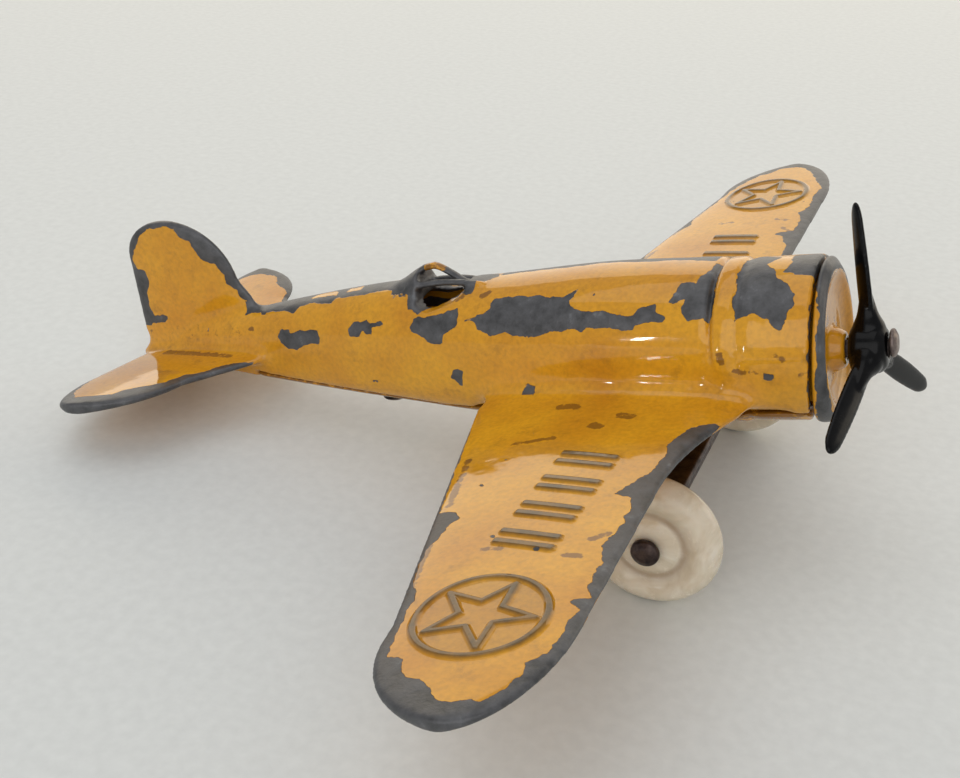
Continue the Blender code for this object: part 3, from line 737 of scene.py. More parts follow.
def tailplane(side):
    rings = []
    for s in tip_steps(0.4, TAIL_SPAN - 9.0, TAIL_SPAN, 12, 24):
        lead = tail_lead(s) - (0.09 * s if side > 0 else 0.0)
        slim = min(TAIL_THICK, (lead - tail_trail(s)) * 0.8)
        middle = tail_middle(s)
        rings.append(plate_ring(lead, tail_trail(s), slim, lambda x, o: (x, side * s, middle + o)))
    return loft(rings)


def fin_lead(z):
    return rounded(lambda d: -37.2 - 0.61 * (d - 6.0), -47.6, FIN_TOP - 7.5, FIN_TOP, z)


def fin_trail(z):
    return rounded(lambda d: -54.9 + 0.13 * d, -47.6, FIN_TOP - 4.25, FIN_TOP, z)


def fin():
    rings = []
    for z in tip_steps(0.6, FIN_TOP - 4.25, FIN_TOP, 16, 22):
        slim = min(1.5 * (1.2 - 0.35 * z / FIN_TOP), (fin_lead(z) - fin_trail(z)) * 0.8)
        rings.append(plate_ring(fin_lead(z), fin_trail(z), slim, lambda x, o: (x, o, z)))
    return loft(rings)


# %% [markdown]
# ## The open canopy
# The toy's cockpit is a cast frame with no glass: a ridge bar over the top, a slim rail along each side and
# openings above and below the rail. A hump is added to the fuselage, an opening is cut through it from side
# to side, and the two rails are put back.

# %% Canopy
RIDGE = ((-20.5, 7.0), (-19.0, 7.6), (-17.5, 8.2), (-16.1, 8.95), (-14.8, 9.55), (-13.6, 9.72))
RIDGE += ((-12.9, 9.45), (-12.3, 9.05), (-11.5, 8.5), (-10.8, 7.95), (-9.8, 7.3), (-9.0, 6.9))
FAIRING_END, COCKPIT_FRONT, SILL = -15.2, -9.8, 6.0
PAST_SIDE = 9.0  # half the width of a cutter that goes right through the fuselage


def ridge(x):
    return float(np.interp(x, *zip(*RIDGE)))


def swept(stations, half_width, half_height, sides=24):
    """A bar of oval section through (x, y, z) stations."""
    rings = []
    for x, y, z in stations:
        turn = [2 * math.pi * (k + 0.5) / sides for k in range(sides)]
        rings.append([(x, y + half_width * math.cos(a), z + half_height * math.sin(a)) for a in turn])
    return loft(rings)


def fairing():
    """The solid hump behind the opening, which the ridge bar grows out of."""
    rings = []
    for x in np.linspace(-20.5, FAIRING_END, 24):
        wide = 1.7 + 1.0 * (x + 20.5) / 5.3
        turn = [2 * math.pi * k / 40 for k in range(40)]
        rings.append([(x, wide * math.cos(a), ridge(x) - 2.6 + 2.6 * math.sin(a)) for a in turn])
    return loft(rings)


def ridge_bar():
    return swept([(x, 0.0, ridge(x) - 0.34) for x in np.linspace(-16.4, -9.3, 40)], 0.55, 0.36)


def rail(side):
    """A slim sill along one side, a little proud of the deck; the port one is pressed down."""
    stations = []
    for x in np.linspace(-16.6, -8.0, 30):
        t = (x + 16.6) / 8.6
        drop = 0.05 if side < 0 else 0.75
        stations.append((x, side * (1.75 - 0.5 * t), between(x, 2) - drop + 0.5 * math.sin(math.pi * t)))
    return swept(stations, 0.45, 0.34)


def cockpit_cut():
    """Both openings in one: over the rail under the ridge bar, and below the rail in the sides."""
    outline = [
        (FAIRING_END + 0.1, SILL + 0.2), (FAIRING_END + 0.1, 10.5), (-11.3, 10.5), (-10.9, 7.9),
        (COCKPIT_FRONT, 7.3), (-10.6, 6.55), (-12.9, SILL - 0.1), (-13.8, SILL - 0.25)
    ]
    return slab(outline, -PAST_SIDE, PAST_SIDE)


# %% [markdown]
# ## Casting it in one
# The pieces above are united, hollowed and cut by Booleans. A die-cast part has no sharp inner corners, so
# the result gets one even skin of small quads, and that skin is relaxed: a little everywhere, and a lot
# where the wing, the tail and the fin grow out of the fuselage, which makes the cast fillets.

# %% Main casting
PARTING_Z, PARTING_KNEE, PARTING_SLOPE, BELLY_END = -4.5, -14.0, 0.144, -38.0
RIVET_STATIONS, RIVET_HOLE = (WHEEL_X, -22.0), 1.12
SKIN_STEP = 0.22  # mm between points of the casting's skin


def parting(x):
    return PARTING_Z + PARTING_SLOPE * max(PARTING_KNEE - x, 0.0)


def below_parting(lift, tail, nose):
    outline = [(tail, -11.0), (tail, parting(tail) + lift), (PARTING_KNEE, PARTING_Z + lift)]
    outline += [(nose, PARTING_Z + lift), (nose, -11.0)]
    return slab(outline, -PAST_SIDE, PAST_SIDE)


def post(x):
    return turned(((parting(x) + 0.6, 2.2), (between(x, 2) - 0.65, 2.2)), "Z", 40, (x, 0.0, 0.0))


skid = turned(eased([(-0.8, 1.8), (-0.8, 2.4), (0.8, 2.4), (0.8, 1.8)], 0.3), "Y", 48, (-49.5, 0.0, -0.6))
grown = (wing(1), wing(-1), tailplane(1), tailplane(-1), fin(), fairing(), skid)
hollows = (inner_hull(), below_parting(0.0, BELLY_END - 0.3, 27.0), cockpit_cut())
inserts = (rail(1), rail(-1), ridge_bar(), *map(post, RIVET_STATIONS))
steps = [("UNION", mesh) for mesh in grown] + [("DIFFERENCE", mesh) for mesh in hollows]
casting = combined(outer_hull(), steps + [("UNION", mesh) for mesh in inserts])
casting = remeshed(casting, SKIN_STEP)
print("casting skin", len(casting.polygons), "quads")

# %% Cast fillets
# tables of the hull's half width, top and bottom, for working on all the points at once
stations = np.linspace(TAIL_X, FIREWALL_X, 300)
HULL_TABLE = [np.array([between(x, column) for x in stations]) for column in (1, 2, 3)]


def outside_hull(points):
    """Roughly how far each point is outside the fuselage's skin, in mm."""
    x, y, z = points.T
    half, top, bottom = (np.interp(x, stations, column) for column in HULL_TABLE)
    height = np.where(z > 0, top, -bottom)
    scale = ((np.abs(y) / half) ** FLAT_OVAL + (np.abs(z) / height) ** FLAT_OVAL) ** (1 / FLAT_OVAL)
    return np.hypot(y, z) * (1 - 1 / np.maximum(scale, 1e-3))


def near(distance, reach):
    """1 on a junction, falling smoothly to 0 at its reach."""
    t = np.clip(1 - distance / reach, 0, 1)
    return t * t * (3 - 2 * t)


points, edges = points_of(casting), edges_of(casting)
x, y, z = points.T
s = np.abs(y)
from_hull = np.abs(outside_hull(points))
from_wing = np.maximum(np.abs(z - wing_middle(s)) - wing_thick(s) / 2, 0)
in_chord = (x > ROOT_TRAIL + TRAIL_SWEEP * s - 1.6) & (x < lead_line(s) + root_flare(s) + 1.5) & (s > 4.0)
wing_root = np.where(in_chord, near(np.hypot(from_hull, from_wing), 3.4), 0)
from_fin = np.maximum(s - 0.85, 0)
in_fin = (x < -36.0) & (z > 1.0)
fin_root = np.where(in_fin, near(np.hypot(from_hull, from_fin), 1.8), 0)
from_tail = np.maximum(np.abs(z - tail_middle(s)) - TAIL_THICK / 2, 0)
in_tail = (x < -33.0) & (s > 0.9)
tail_root = np.where(in_tail, near(np.hypot(from_hull, from_tail), 1.6), 0)
points = spread(points, edges, 160, wing_root)
points = spread(points, edges, 50, np.maximum(fin_root, tail_root))
open_frame = (x > -17.0) & (x < -8.0) & (z > 7.0)
points = spread(points, edges, 4, np.where(open_frame, 0.35, 1.0))
move_points(casting, points)
print("fillets relaxed over", int((wing_root > 0).sum()), "points")

# %% [markdown]
# ## Raised marks on the wings
# The die had a ring with a five-pointed star near each tip and a row of raised marks inboard. The marks here
# are plain bars. They stand a quarter of a millimetre proud, so the skin is made finer under them and then
# lifted: real relief, which catches light and wears like the rest.

# %% Raised ring, star and bars
RING_CENTRE_X, RING_CENTRE_Y, RING_R = 9.5, 44.25, 4.85
STAR_R, STAR_PHASE = 4.1, 3.0
LINE = 0.28  # half the width of a raised line
BAR_ROWS = {-1: (-20.2, -21.7, -24.6, -26.1, -29.0, -30.5, -33.4, -34.9), 1: (24.6, 26.1, 29.4, 30.9)}
BAR_X, BAR_LENGTH = 8.8, 4.8


def segment_distance(u, v, a, b):
    run = np.array(b) - np.array(a)
    t = np.clip(((u - a[0]) * run[0] + (v - a[1]) * run[1]) / (run @ run), 0, 1)
    return np.hypot(u - a[0] - t * run[0], v - a[1] - t * run[1])


def mark_lines(side):
    """The raised strokes of one wing, as pairs of (x, y) ends."""
    tips = []
    for k in range(10):
        radius = STAR_R if k % 2 == 0 else STAR_R * 0.40
        angle = math.radians(STAR_PHASE + 36.0 * k)
        tips.append(
            (RING_CENTRE_X + radius * math.cos(angle), side * RING_CENTRE_Y + radius * math.sin(angle))
        )
    lines = list(zip(tips, tips[1:] + tips[:1]))
    for row in BAR_ROWS[side]:
        for lift in (-0.12, 0.12):
            lines.append(
                ((BAR_X - BAR_LENGTH / 2, row + lift + 0.25), (BAR_X + BAR_LENGTH / 2, row + lift - 0.25))
            )
    return lines


def mark_distance(u, v):
    """How far each (x, y) is from the nearest raised stroke's middle."""
    nearest = np.full(len(u), 9.0)
    for side in (-1, 1):
        ring = np.abs(np.hypot(u - RING_CENTRE_X, v - side * RING_CENTRE_Y) - RING_R)
        nearest = np.minimum(nearest, ring)
        for a, b in mark_lines(side):
            nearest = np.minimum(nearest, segment_distance(u, v, a, b))
    return nearest


shape = bmesh.new()
shape.from_mesh(casting)
for _ in range(2):
    flat = [face for face in shape.faces if face.normal.z > 0.8 and abs(face.calc_center_median().y) > 15]
    middles = np.array([face.calc_center_median() for face in flat])
    close = mark_distance(middles[:, 0], middles[:, 1]) < 0.75
    lines = {edge for face, chosen in zip(flat, close) if chosen for edge in face.edges}
    bmesh.ops.subdivide_edges(shape, edges=list(lines), cuts=1, use_grid_fill=True)
shape.to_mesh(casting)
shape.free()
points, edges, normals = points_of(casting), edges_of(casting), normals_of(casting)
on_top = (normals[:, 2] > 0.8) & (np.abs(points[:, 1]) > 15)
away = mark_distance(points[:, 0], points[:, 1])
relief = np.where(on_top, near(np.maximum(away - LINE * 0.45, 0), LINE * 1.3), 0.0)
points[:, 2] += 0.24 * relief
move_points(casting, points)
print("points lifted in raised marks:", int((relief > 0.5).sum()))

# %% [markdown]
# ## Where the paint has gone
# Each flaked area is a short outline measured on the toy's skin. On the fuselage it is drawn in (x, round),
# where round is the distance in millimetres up and over the skin from the widest line. On the wings it is
# drawn in (x, y), and on the fin in (x, z). The edges of the wing, fin and tailplane are worn all along, so
# there the outline is of the paint that is left. The noise in the material frays every edge.

# %% Outlines of the flaked areas, starboard side
FLANK = {
    "long": (
        (-8.9, 6.1), (-6.1, 7.0), (-5.9, 8.2), (-4.5, 8.5), (-1.9, 8.2), (1.9, 7.8), (3.3, 8.6), (2.5, 7.3),
        (3.0, 6.5), (6.1, 6.1), (8.0, 5.7), (9.1, 5.8), (9.8, 6.6), (11.2, 6.7), (11.5, 5.9), (12.3, 5.4),
        (12.0, 5.0), (9.9, 5.0), (9.1, 4.5), (7.1, 4.5), (4.4, 4.7), (3.9, 4.3), (2.6, 4.7), (1.0, 4.5),
        (-1.1, 3.9), (-2.7, 4.2), (-4.3, 4.6), (-6.0, 4.3), (-7.3, 5.2), (-7.7, 5.8)
    ),
    "mid": (
        (-15.3, 5.7), (-14.9, 6.6), (-13.4, 6.8), (-11.8, 7.0), (-9.8, 7.6), (-9.6, 6.6), (-9.8, 5.5),
        (-11.3, 4.7), (-11.6, 3.6), (-12.9, 3.7), (-13.7, 4.5), (-15.2, 5.2)
    ),
    "rear": (
        (-33.4, 5.9), (-32.7, 6.9), (-31.5, 6.9), (-31.3, 6.3), (-30.0, 6.6), (-27.5, 6.3), (-27.5, 4.4),
        (-29.8, 4.3), (-30.7, 3.3), (-32.0, 3.8), (-33.0, 4.9)
    ),
    "rear_small": (
        (-23.3, 6.0), (-22.5, 6.9), (-20.9, 6.9), (-20.5, 6.4), (-19.1, 6.8), (-18.5, 6.3), (-20.2, 6.0),
        (-20.1, 5.0), (-21.1, 5.3), (-21.5, 5.9), (-21.9, 5.0), (-23.0, 5.2)
    ),
    "low_a": (
        (-11.3, -0.7), (-11.0, 0.4), (-10.3, 0.6), (-9.6, 0.3), (-9.8, -0.5), (-10.3, -1.6), (-10.8, -1.0)
    ),
    "low_b": ((-2.9, -1.3), (-2.4, -0.9), (-1.5, -1.0), (-1.6, -1.9), (-3.0, -1.8)),
    "high": ((4.7, 7.4), (4.6, 7.9), (5.1, 8.1), (5.2, 7.6)),
    "cowl_rear": (
        (12.4, 6.7), (13.2, 8.6), (14.7, 8.7), (14.9, 9.6), (15.6, 10.6), (16.0, 11.0), (16.0, 5.1),
        (14.1, 4.9), (13.7, 5.8), (13.9, 6.9)
    ),
    "cowl_big": (
        (18.5, 4.8), (18.4, 7.0), (18.3, 9.8), (18.4, 12.6), (19.6, 14.0), (21.6, 13.0), (20.6, 11.2),
        (21.4, 10.2), (21.8, 9.2), (23.0, 8.3), (23.8, 7.2), (23.8, 6.4), (23.2, 5.0), (22.7, 4.0),
        (22.0, 4.4), (21.4, 5.0), (20.1, 5.5), (19.2, 5.1)
    ),
    "cowl_top": ((22.3, 9.8), (22.9, 11.4), (22.6, 13.6), (25.6, 14.2), (25.6, 9.0), (24.1, 9.2)),
    "cowl_tick": ((20.9, -0.2), (21.0, 0.3), (21.9, 0.2), (21.8, -0.2)),
    "crown": (
        (-7.0, 12.6), (-4.0, 13.0), (0.0, 12.7), (4.0, 13.1), (8.0, 12.8), (12.0, 13.1), (15.6, 12.6),
        (15.6, 15.2), (10.0, 14.6), (4.0, 15.0), (-2.0, 14.6), (-7.0, 15.4)
    ),
    "firewall": ((15.7, 5.0), (15.6, 8.0), (15.7, 12.0), (16.5, 12.6), (16.3, 9.0), (16.6, 6.2), (16.2, 4.6)),
    "spine": (
        (-38.5, 10.2), (-36.4, 10.2), (-32.0, 9.4), (-31.2, 8.8), (-30.5, 9.9), (-28.6, 10.0), (-26.1, 9.4),
        (-25.5, 10.2), (-22.1, 10.2), (-19.5, 10.4), (-17.5, 10.0), (-16.2, 9.2), (-15.8, 7.6), (-14.6, 7.2),
        (-13.0, 9.2), (-10.6, 9.8), (-9.4, 10.6), (-8.0, 11.4), (-6.8, 12.3), (-7.4, 13.8), (-14.5, 15.6),
        (-16.0, 14.4), (-18.0, 13.2), (-22.0, 13.4), (-26.0, 14.2), (-31.0, 13.6), (-38.5, 13.4)
    )
}
SPINE_PAINT = (
    ((-29.6, 11.2), (-26.0, 11.0), (-26.6, 12.6), (-29.0, 12.4)),
    ((-24.8, 11.2), (-23.0, 11.4), (-23.2, 12.6), (-24.9, 12.4))
)
WING_PAINT = (
    (20.0, 0.0), (20.0, 11.0), (15.8, 14.0), (15.4, 15.4), (14.7, 17.3), (15.1, 19.3), (14.7, 22.4),
    (14.1, 23.7), (13.2, 26.3), (14.6, 26.6), (15.0, 28.2), (15.2, 31.5), (14.8, 33.7), (15.5, 36.2),
    (15.7, 39.3), (16.1, 40.6), (15.1, 41.4), (16.0, 42.3), (15.8, 44.1), (15.9, 45.7), (15.8, 47.4),
    (15.2, 48.3), (14.7, 48.8), (15.1, 49.8), (14.7, 50.7), (14.1, 52.4), (13.4, 53.0), (11.8, 53.4),
    (11.0, 53.6), (10.0, 52.9), (9.0, 51.9), (7.4, 51.7), (6.5, 50.6), (6.4, 49.8), (4.9, 49.6), (4.2, 47.1),
    (3.5, 44.3), (3.0, 41.6), (2.4, 41.1), (1.9, 40.4), (0.7, 36.0), (1.1, 34.4), (0.9, 32.7), (1.5, 31.1),
    (0.9, 30.3), (-1.0, 30.0), (-3.3, 22.0), (-5.5, 14.5), (-9.7, 5.0), (-9.7, 0.0)
)
PORT_WING_PAINT = (
    (20.0, 0.0), (20.0, 11.0), (16.0, 14.5), (15.2, 18.0), (14.9, 21.0), (13.6, 22.6), (15.0, 24.6),
    (15.2, 28.0), (14.2, 30.8), (13.0, 31.4), (15.1, 32.6), (15.4, 36.0), (14.6, 37.8), (15.6, 40.0),
    (15.3, 43.0), (15.8, 46.0), (14.6, 49.0), (13.6, 51.5), (12.6, 53.0), (11.2, 53.9), (9.4, 53.6),
    (8.1, 52.4), (6.9, 51.9), (5.6, 50.0), (4.0, 46.9), (3.1, 43.6), (2.2, 41.4), (1.4, 38.6), (1.9, 36.4),
    (0.2, 34.6), (-1.2, 29.6), (-1.4, 26.9), (-3.0, 23.0), (-5.6, 14.0), (-9.7, 5.0), (-9.7, 0.0)
)
TAIL_PAINT = (
    (-30.0, 0.0), (-30.0, 4.6), (-35.0, 4.3), (-37.2, 5.4), (-38.9, 6.8), (-40.2, 9.0), (-42.0, 10.4),
    (-42.6, 12.4), (-43.5, 13.4), (-45.6, 14.8), (-46.3, 16.4), (-49.0, 17.2), (-51.0, 17.2), (-52.6, 15.6),
    (-53.3, 13.8), (-54.4, 11.0), (-54.6, 7.0), (-54.3, 5.4), (-54.7, 3.0), (-56.0, 0.0)
)
FIN_PAINT = (
    (-34.0, 4.0), (-36.9, 5.7), (-39.1, 7.2), (-39.2, 7.9), (-40.3, 8.8), (-40.2, 9.7), (-41.0, 11.1),
    (-42.4, 11.6), (-43.1, 12.5), (-43.7, 14.0), (-44.9, 14.9), (-45.1, 15.7), (-46.6, 16.0), (-48.6, 15.9),
    (-50.4, 15.2), (-51.5, 14.0), (-52.6, 12.3), (-52.2, 11.3), (-51.4, 11.0), (-51.1, 9.8), (-51.9, 8.0),
    (-52.3, 6.2), (-52.1, 5.5), (-50.1, 5.2), (-50.6, 4.4), (-52.6, 4.3), (-54.4, 3.2), (-55.6, 2.0),
    (-56.0, -3.0), (-34.0, -3.0)
)

# %% [markdown]
# The far side has flaked in its own places. Those outlines are drawn by a seeded generator, each a ragged
# loop of the given size, so the toy isn't the same on both sides and comes out alike every time.

# %% Port side and underside flakes
PORT_FLAKES = (
    (-30.5, 6.0, 2.4, 1.0), (-24.0, 4.4, 1.5, 0.9), (-17.2, 6.4, 2.6, 1.4), (-9.5, 3.6, 1.6, 1.0),
    (-3.4, 6.9, 4.6, 1.3), (3.6, 5.6, 3.4, 1.5), (9.8, 7.4, 2.6, 1.1), (12.0, 1.4, 1.3, 0.8),
    (14.4, 6.8, 1.5, 2.2), (20.6, 6.6, 2.4, 2.3), (23.6, 3.4, 1.1, 1.0), (22.0, -1.2, 0.9, 0.7),
    (-36.8, 3.2, 1.3, 0.7), (-13.0, -0.8, 1.0, 0.6), (5.5, 0.4, 1.2, 0.6)
)
UNDER_FLAKES = (
    (4.0, 22.0, 3.2, 2.0), (9.5, 34.0, 2.4, 3.0), (6.5, 45.0, 3.0, 2.2), (12.5, 26.0, 2.0, 2.6),
    (3.5, -18.0, 2.6, 2.2), (8.5, -30.0, 3.0, 2.4), (11.0, -43.0, 2.6, 2.6), (4.5, -37.0, 1.8, 2.0),
    (-46.0, 8.0, 2.0, 1.4), (-48.0, -7.0, 1.8, 1.6)
)
dice = np.random.default_rng(8)


def ragged_loop(u, v, length, height, corners=14):
    loop = []
    for k in range(corners):
        angle = 2 * math.pi * (k + 0.5 * dice.random()) / corners
        reach = 0.55 + 0.65 * dice.random()
        loop.append((u + length * reach * math.cos(angle), v + height * reach * math.sin(angle)))
    return loop


def inside(u, v, outline):
    """How far inside a closed outline each (u, v) is, in mm; below 0 outside it."""
    corners = np.array(outline, float)
    after = np.roll(corners, -1, axis=0)
    nearest = np.full(len(u), 99.0)
    crossings = np.zeros(len(u), bool)
    for a, b in zip(corners, after):
        nearest = np.minimum(nearest, segment_distance(u, v, a, b))
        spans = (a[1] > v) != (b[1] > v)
        meets = a[0] + (v - a[1]) * (b[0] - a[0]) / (b[1] - a[1] if b[1] != a[1] else 1.0)
        crossings ^= spans & (u < meets)
    return np.where(crossings, nearest, -nearest)


# %% Stains: (x, y) runs on the wings' tops, (x, round) runs on both flanks, with each one's radius; tail runs are painted shade
WING_STAINS = (
    ((2.4, 10.4), (3.7, 10.5), 0.45), ((8.9, 12.2), (9.8, 12.4), 0.35), ((7.0, 14.3), (7.6, 14.5), 0.4),
    ((0.7, 18.2), (4.1, 16.9), 0.12), ((5.8, 35.7), (7.1, 35.6), 0.12), ((13.8, 33.3), (14.7, 32.3), 0.1),
    ((12.5, 35.9), (13.7, 35.7), 0.1), ((-2.6, 21.0), (-0.6, 29.0), 0.15), ((0.4, 34.0), (2.6, 43.0), 0.12)
)
FLANK_STAINS = (
    ((18.4, 0.6), (20.4, 0.4), 0.02), ((22.2, 1.9), (22.8, 1.5), 0.05), ((24.2, 0.2), (24.7, 0.3), 0.05),
    ((17.3, 2.1), (17.4, 1.5), 0.08), ((-7.4, 8.7), (-6.8, 9.1), 0.15), ((-10.2, 8.4), (-9.6, 8.8), 0.1),
    ((-37.3, 7.6), (-37.2, 7.6), 0.25)
)
# the tail runs, in (x, y), are painted shade along the crease where the tailplane meets the fuselage
TAIL_SHADE = (((-50.5, 2.4), (-45.0, 3.4), 0.35), ((-45.0, 3.4), (-40.0, 4.2), 0.3))


SKIN_R = 7.5  # mm of skin per radian around the fuselage


def stain_and_shade_field(points):
    """1 in the middle of each stain and each patch of painted shade, falling to 0 around it."""
    x, y, z = points.T
    s = np.abs(y)
    stain_and_shade = np.zeros(len(points))
    for runs, u, v, where in (
        (WING_STAINS, x, s, (s > 8.0) & (x > -12.0)),
        (FLANK_STAINS, x, np.arctan2(z, s) * SKIN_R, (s < 9.0) & (x > -40.0)),
        (TAIL_SHADE, x, s, (x < -38.0) & (z < 3.0) & (z > 0.0)),
    ):
        for a, b, radius in runs:
            mark = near(np.maximum(segment_distance(u, v, a, b) - radius, 0), 0.45)
            stain_and_shade = np.where(where, np.maximum(stain_and_shade, mark), stain_and_shade)
    on_bar = (x > -15.6) & (x < -10.8) & (z > 8.3) & (s < 1.2)
    stain_and_shade = np.where(on_bar, 0.85, stain_and_shade)
    # painted shade in a band around the fin's foot
    fin_foot_shade = (x < -38.0) & (z > 1.0) & (s < 3.0)
    return np.where(fin_foot_shade, np.maximum(stain_and_shade, 0.3 * near(np.abs(z - 3.4), 2.2)), stain_and_shade)


# %% The bare field on the main casting
UNWORN = 5.0  # mm from bare metal, where the paint is whole


def bare_field(points, normals):
    """How far inside bare metal each point of the casting is, in mm; below 0 on paint."""
    x, y, z = points.T
    s = np.abs(y)
    bare = np.full(len(points), -UNWORN)
    gap = outside_hull(points)
    gap = np.where(x > FIREWALL_X, 0.0, gap)
    on_hull = (gap < 1.2) & (s < 9.5) & (x > -40.0)
    starboard, port = np.arctan2(z, -y) * SKIN_R, np.arctan2(z, y) * SKIN_R
    reach = np.full(len(points), -UNWORN)
    for outline in FLANK.values():
        reach = np.maximum(reach, inside(x, starboard, outline))
    for outline in SPINE_PAINT:
        reach = np.minimum(reach, -inside(x, starboard, outline))
    for u, v, length, height in PORT_FLAKES:
        reach = np.maximum(reach, inside(x, port, ragged_loop(u, v, length, height)))
    bare = np.where(on_hull, np.maximum(bare, reach), bare)
    # the canopy frame is worn all over
    frame_top = np.where((x > -18.4) & (x < -8.6), z - (np.interp(x, stations, HULL_TABLE[1]) - 0.5), -UNWORN)
    bare = np.maximum(bare, np.clip(frame_top, -UNWORN, 1.0))
    on_bar = (x > -14.7) & (x < -12.3) & (z > 8.8)
    bare = np.where(on_bar, -0.25, bare)
    # the rolled front edge of the cowl
    bare = np.maximum(bare, np.where(x > FIREWALL_X, x - cowl_edge(y, z) + 0.05, -UNWORN))
    # wing
    on_wing = (s > 8.2) & (x > -12.0) & (x < 22.0)
    for side, outline in ((-1, WING_PAINT), (1, PORT_WING_PAINT)):
        worn = -inside(x, s, outline)
        worn = worn - np.where(normals[:, 2] < 0.0, 0.7, 0.0)
        bare = np.where(on_wing & (y * side > 0), np.maximum(bare, worn), bare)
    below = on_wing & (normals[:, 2] < -0.3)
    under = np.full(len(points), -UNWORN)
    for u, v, length, height in UNDER_FLAKES:
        under = np.maximum(under, inside(x, y, ragged_loop(u, v, length, height)))
    bare = np.where(below | ((x < -34.0) & (normals[:, 2] < -0.3)), np.maximum(bare, under), bare)
    # tailplane, then fin
    on_tail = (x < -33.0) & (s > 3.0) & (np.abs(z - tail_middle(s)) < 1.3)
    bare = np.where(on_tail, np.maximum(bare, -inside(x, s, TAIL_PAINT)), bare)
    on_fin = (x < -35.5) & (s < 1.6) & (z > 4.0)
    bare = np.where(on_fin, np.maximum(bare, -inside(x, z, FIN_PAINT)), bare)
    return bare


points, normals = points_of(casting), normals_of(casting)
bare = bare_field(points, normals)
note(casting, "bare", bare)
in_ring = np.hypot(points[:, 0] - RING_CENTRE_X, np.abs(points[:, 1]) - RING_CENTRE_Y) < RING_R
note(casting, "relief", np.maximum(relief, 0.22 * (in_ring & on_top)))
note(casting, "stain_and_shade", stain_and_shade_field(points))
note_hollows(casting)
finished("body", casting, "airframe", ["body_casting"], enamel)
print("bare metal on", round(100 * float((bare > 0).mean())), "% of the casting")

# %% [markdown]
# ## The belly casting
# A second, thinner casting closes the fuselage from below. It is the same hull cut off at the parting line,
# hollowed and pocketed for the gear strip, and it gets the same skin and paint.

# %% Belly casting
BRACKET_W, BRACKET_T, EAR_R = 6.2, 0.8, 2.2
strip_top = between(WHEEL_X, 3) - 0.1


def boss_hole(x):
    ends = (between(x, 3) - 3.0, RIVET_HOLE), (parting(x) + 1.0, RIVET_HOLE)
    return turned(ends, "Z", 40, (x, 0.0, 0.0))


low, high = WHEEL_X - BRACKET_W / 2 - 0.3, WHEEL_X + BRACKET_W / 2 + 0.3
roof = strip_top + 0.3
pocket = slab([(low, -12.0), (high, -12.0), (high, roof), (low, roof)], -PAST_SIDE, PAST_SIDE)
belly = combined(
    outer_hull(),
    [("INTERSECT", below_parting(-0.12, BELLY_END, COWL_FRONT - 0.6)), ("DIFFERENCE", inner_hull())]
    + [("DIFFERENCE", mesh) for mesh in (*map(boss_hole, RIVET_STATIONS), pocket)],
)
belly = skinned(belly, 0.25, 4)
points = points_of(belly)
x, y, z = points.T
around = np.arctan2(y, -z) * SKIN_R
bare = np.full(len(points), -UNWORN)
for u, v, length, height in (
    (-33.0, 0.4, 2.6, 0.9), (-26.0, -1.2, 2.4, 1.3), (-14.0, 1.4, 3.0, 1.8), (-5.0, -2.4, 2.2, 1.2),
    (2.0, 1.0, 3.4, 1.6), (19.5, 0.5, 2.6, 2.6), (22.6, -3.4, 1.6, 1.4),
):
    bare = np.maximum(bare, inside(x, around, ragged_loop(u, v, length, height)))
note(belly, "bare", bare)
note(belly, "relief", np.zeros(len(points)))
# painted shade: brown along the belly's top, just under the upper casting's edge
note(belly, "stain_and_shade", near(np.maximum(-5.4 - z, 0), 1.0) * 0.9)
note_hollows(belly)
finished("belly", belly, "airframe", ["belly_casting"], enamel)

# %% [markdown]
# ## Cowl ring and engine face
# The front of the cowl is a casting of its own: a rounded lip worn to bare metal all round, a dished face
# that has kept its paint and a boss that carries the propeller. It is turned, and its outline is eased at
# each corner as a casting's is.

# %% Cowl ring
RING_BACK = FIREWALL_X + 9.7
FACE_X = RING_BACK + 0.6
RING_R_OUT, RING_WALL = COWL_R - 0.25, 1.5
SHAFT_DROP = 1.0
HUB_BACK, HUB_FRONT = FACE_X + 0.8, FACE_X + 4.2
PIN_R, SHAFT_HOLE = 0.8, 0.92
SHAFT_CENTRE = (0.0, 0.0, -SHAFT_DROP)
lip = RING_R_OUT - RING_WALL
spigot = COWL_R * COWL_FLAT - WALL - 0.3
ring_profile = [
    (RING_BACK - 4.0, 0.01), (RING_BACK - 4.0, spigot), (RING_BACK - 1.2, spigot),
    (RING_BACK - 1.15, RING_R_OUT - 0.3), (RING_BACK - 0.9, RING_R_OUT), (FACE_X - 0.7, RING_R_OUT),
    (FACE_X - 0.1, RING_R_OUT - 0.6), (FACE_X, RING_R_OUT - 1.1), (FACE_X - 0.15, lip),
    (FACE_X - 0.6, lip - 0.6), (FACE_X - 0.9, lip - 1.6), (FACE_X - 0.9, 0.01)
]
ring = turned(eased(ring_profile, 0.4), "X", 128)
boss = turned(
    eased([(FACE_X - 1.6, 2.2), (FACE_X - 0.5, 2.1), (HUB_BACK - 0.3, 1.6), (HUB_BACK - 0.3, 0.01)], 0.3),
    "X", 64, SHAFT_CENTRE
)
shaft_hole = turned(((RING_BACK - 3.4, SHAFT_HOLE), (FACE_X + 3.0, SHAFT_HOLE)), "X", 40, SHAFT_CENTRE)
engine = remeshed(combined(ring, [("UNION", boss), ("DIFFERENCE", shaft_hole)]), 0.16)
points = points_of(engine)
radius = np.hypot(points[:, 1], points[:, 2])
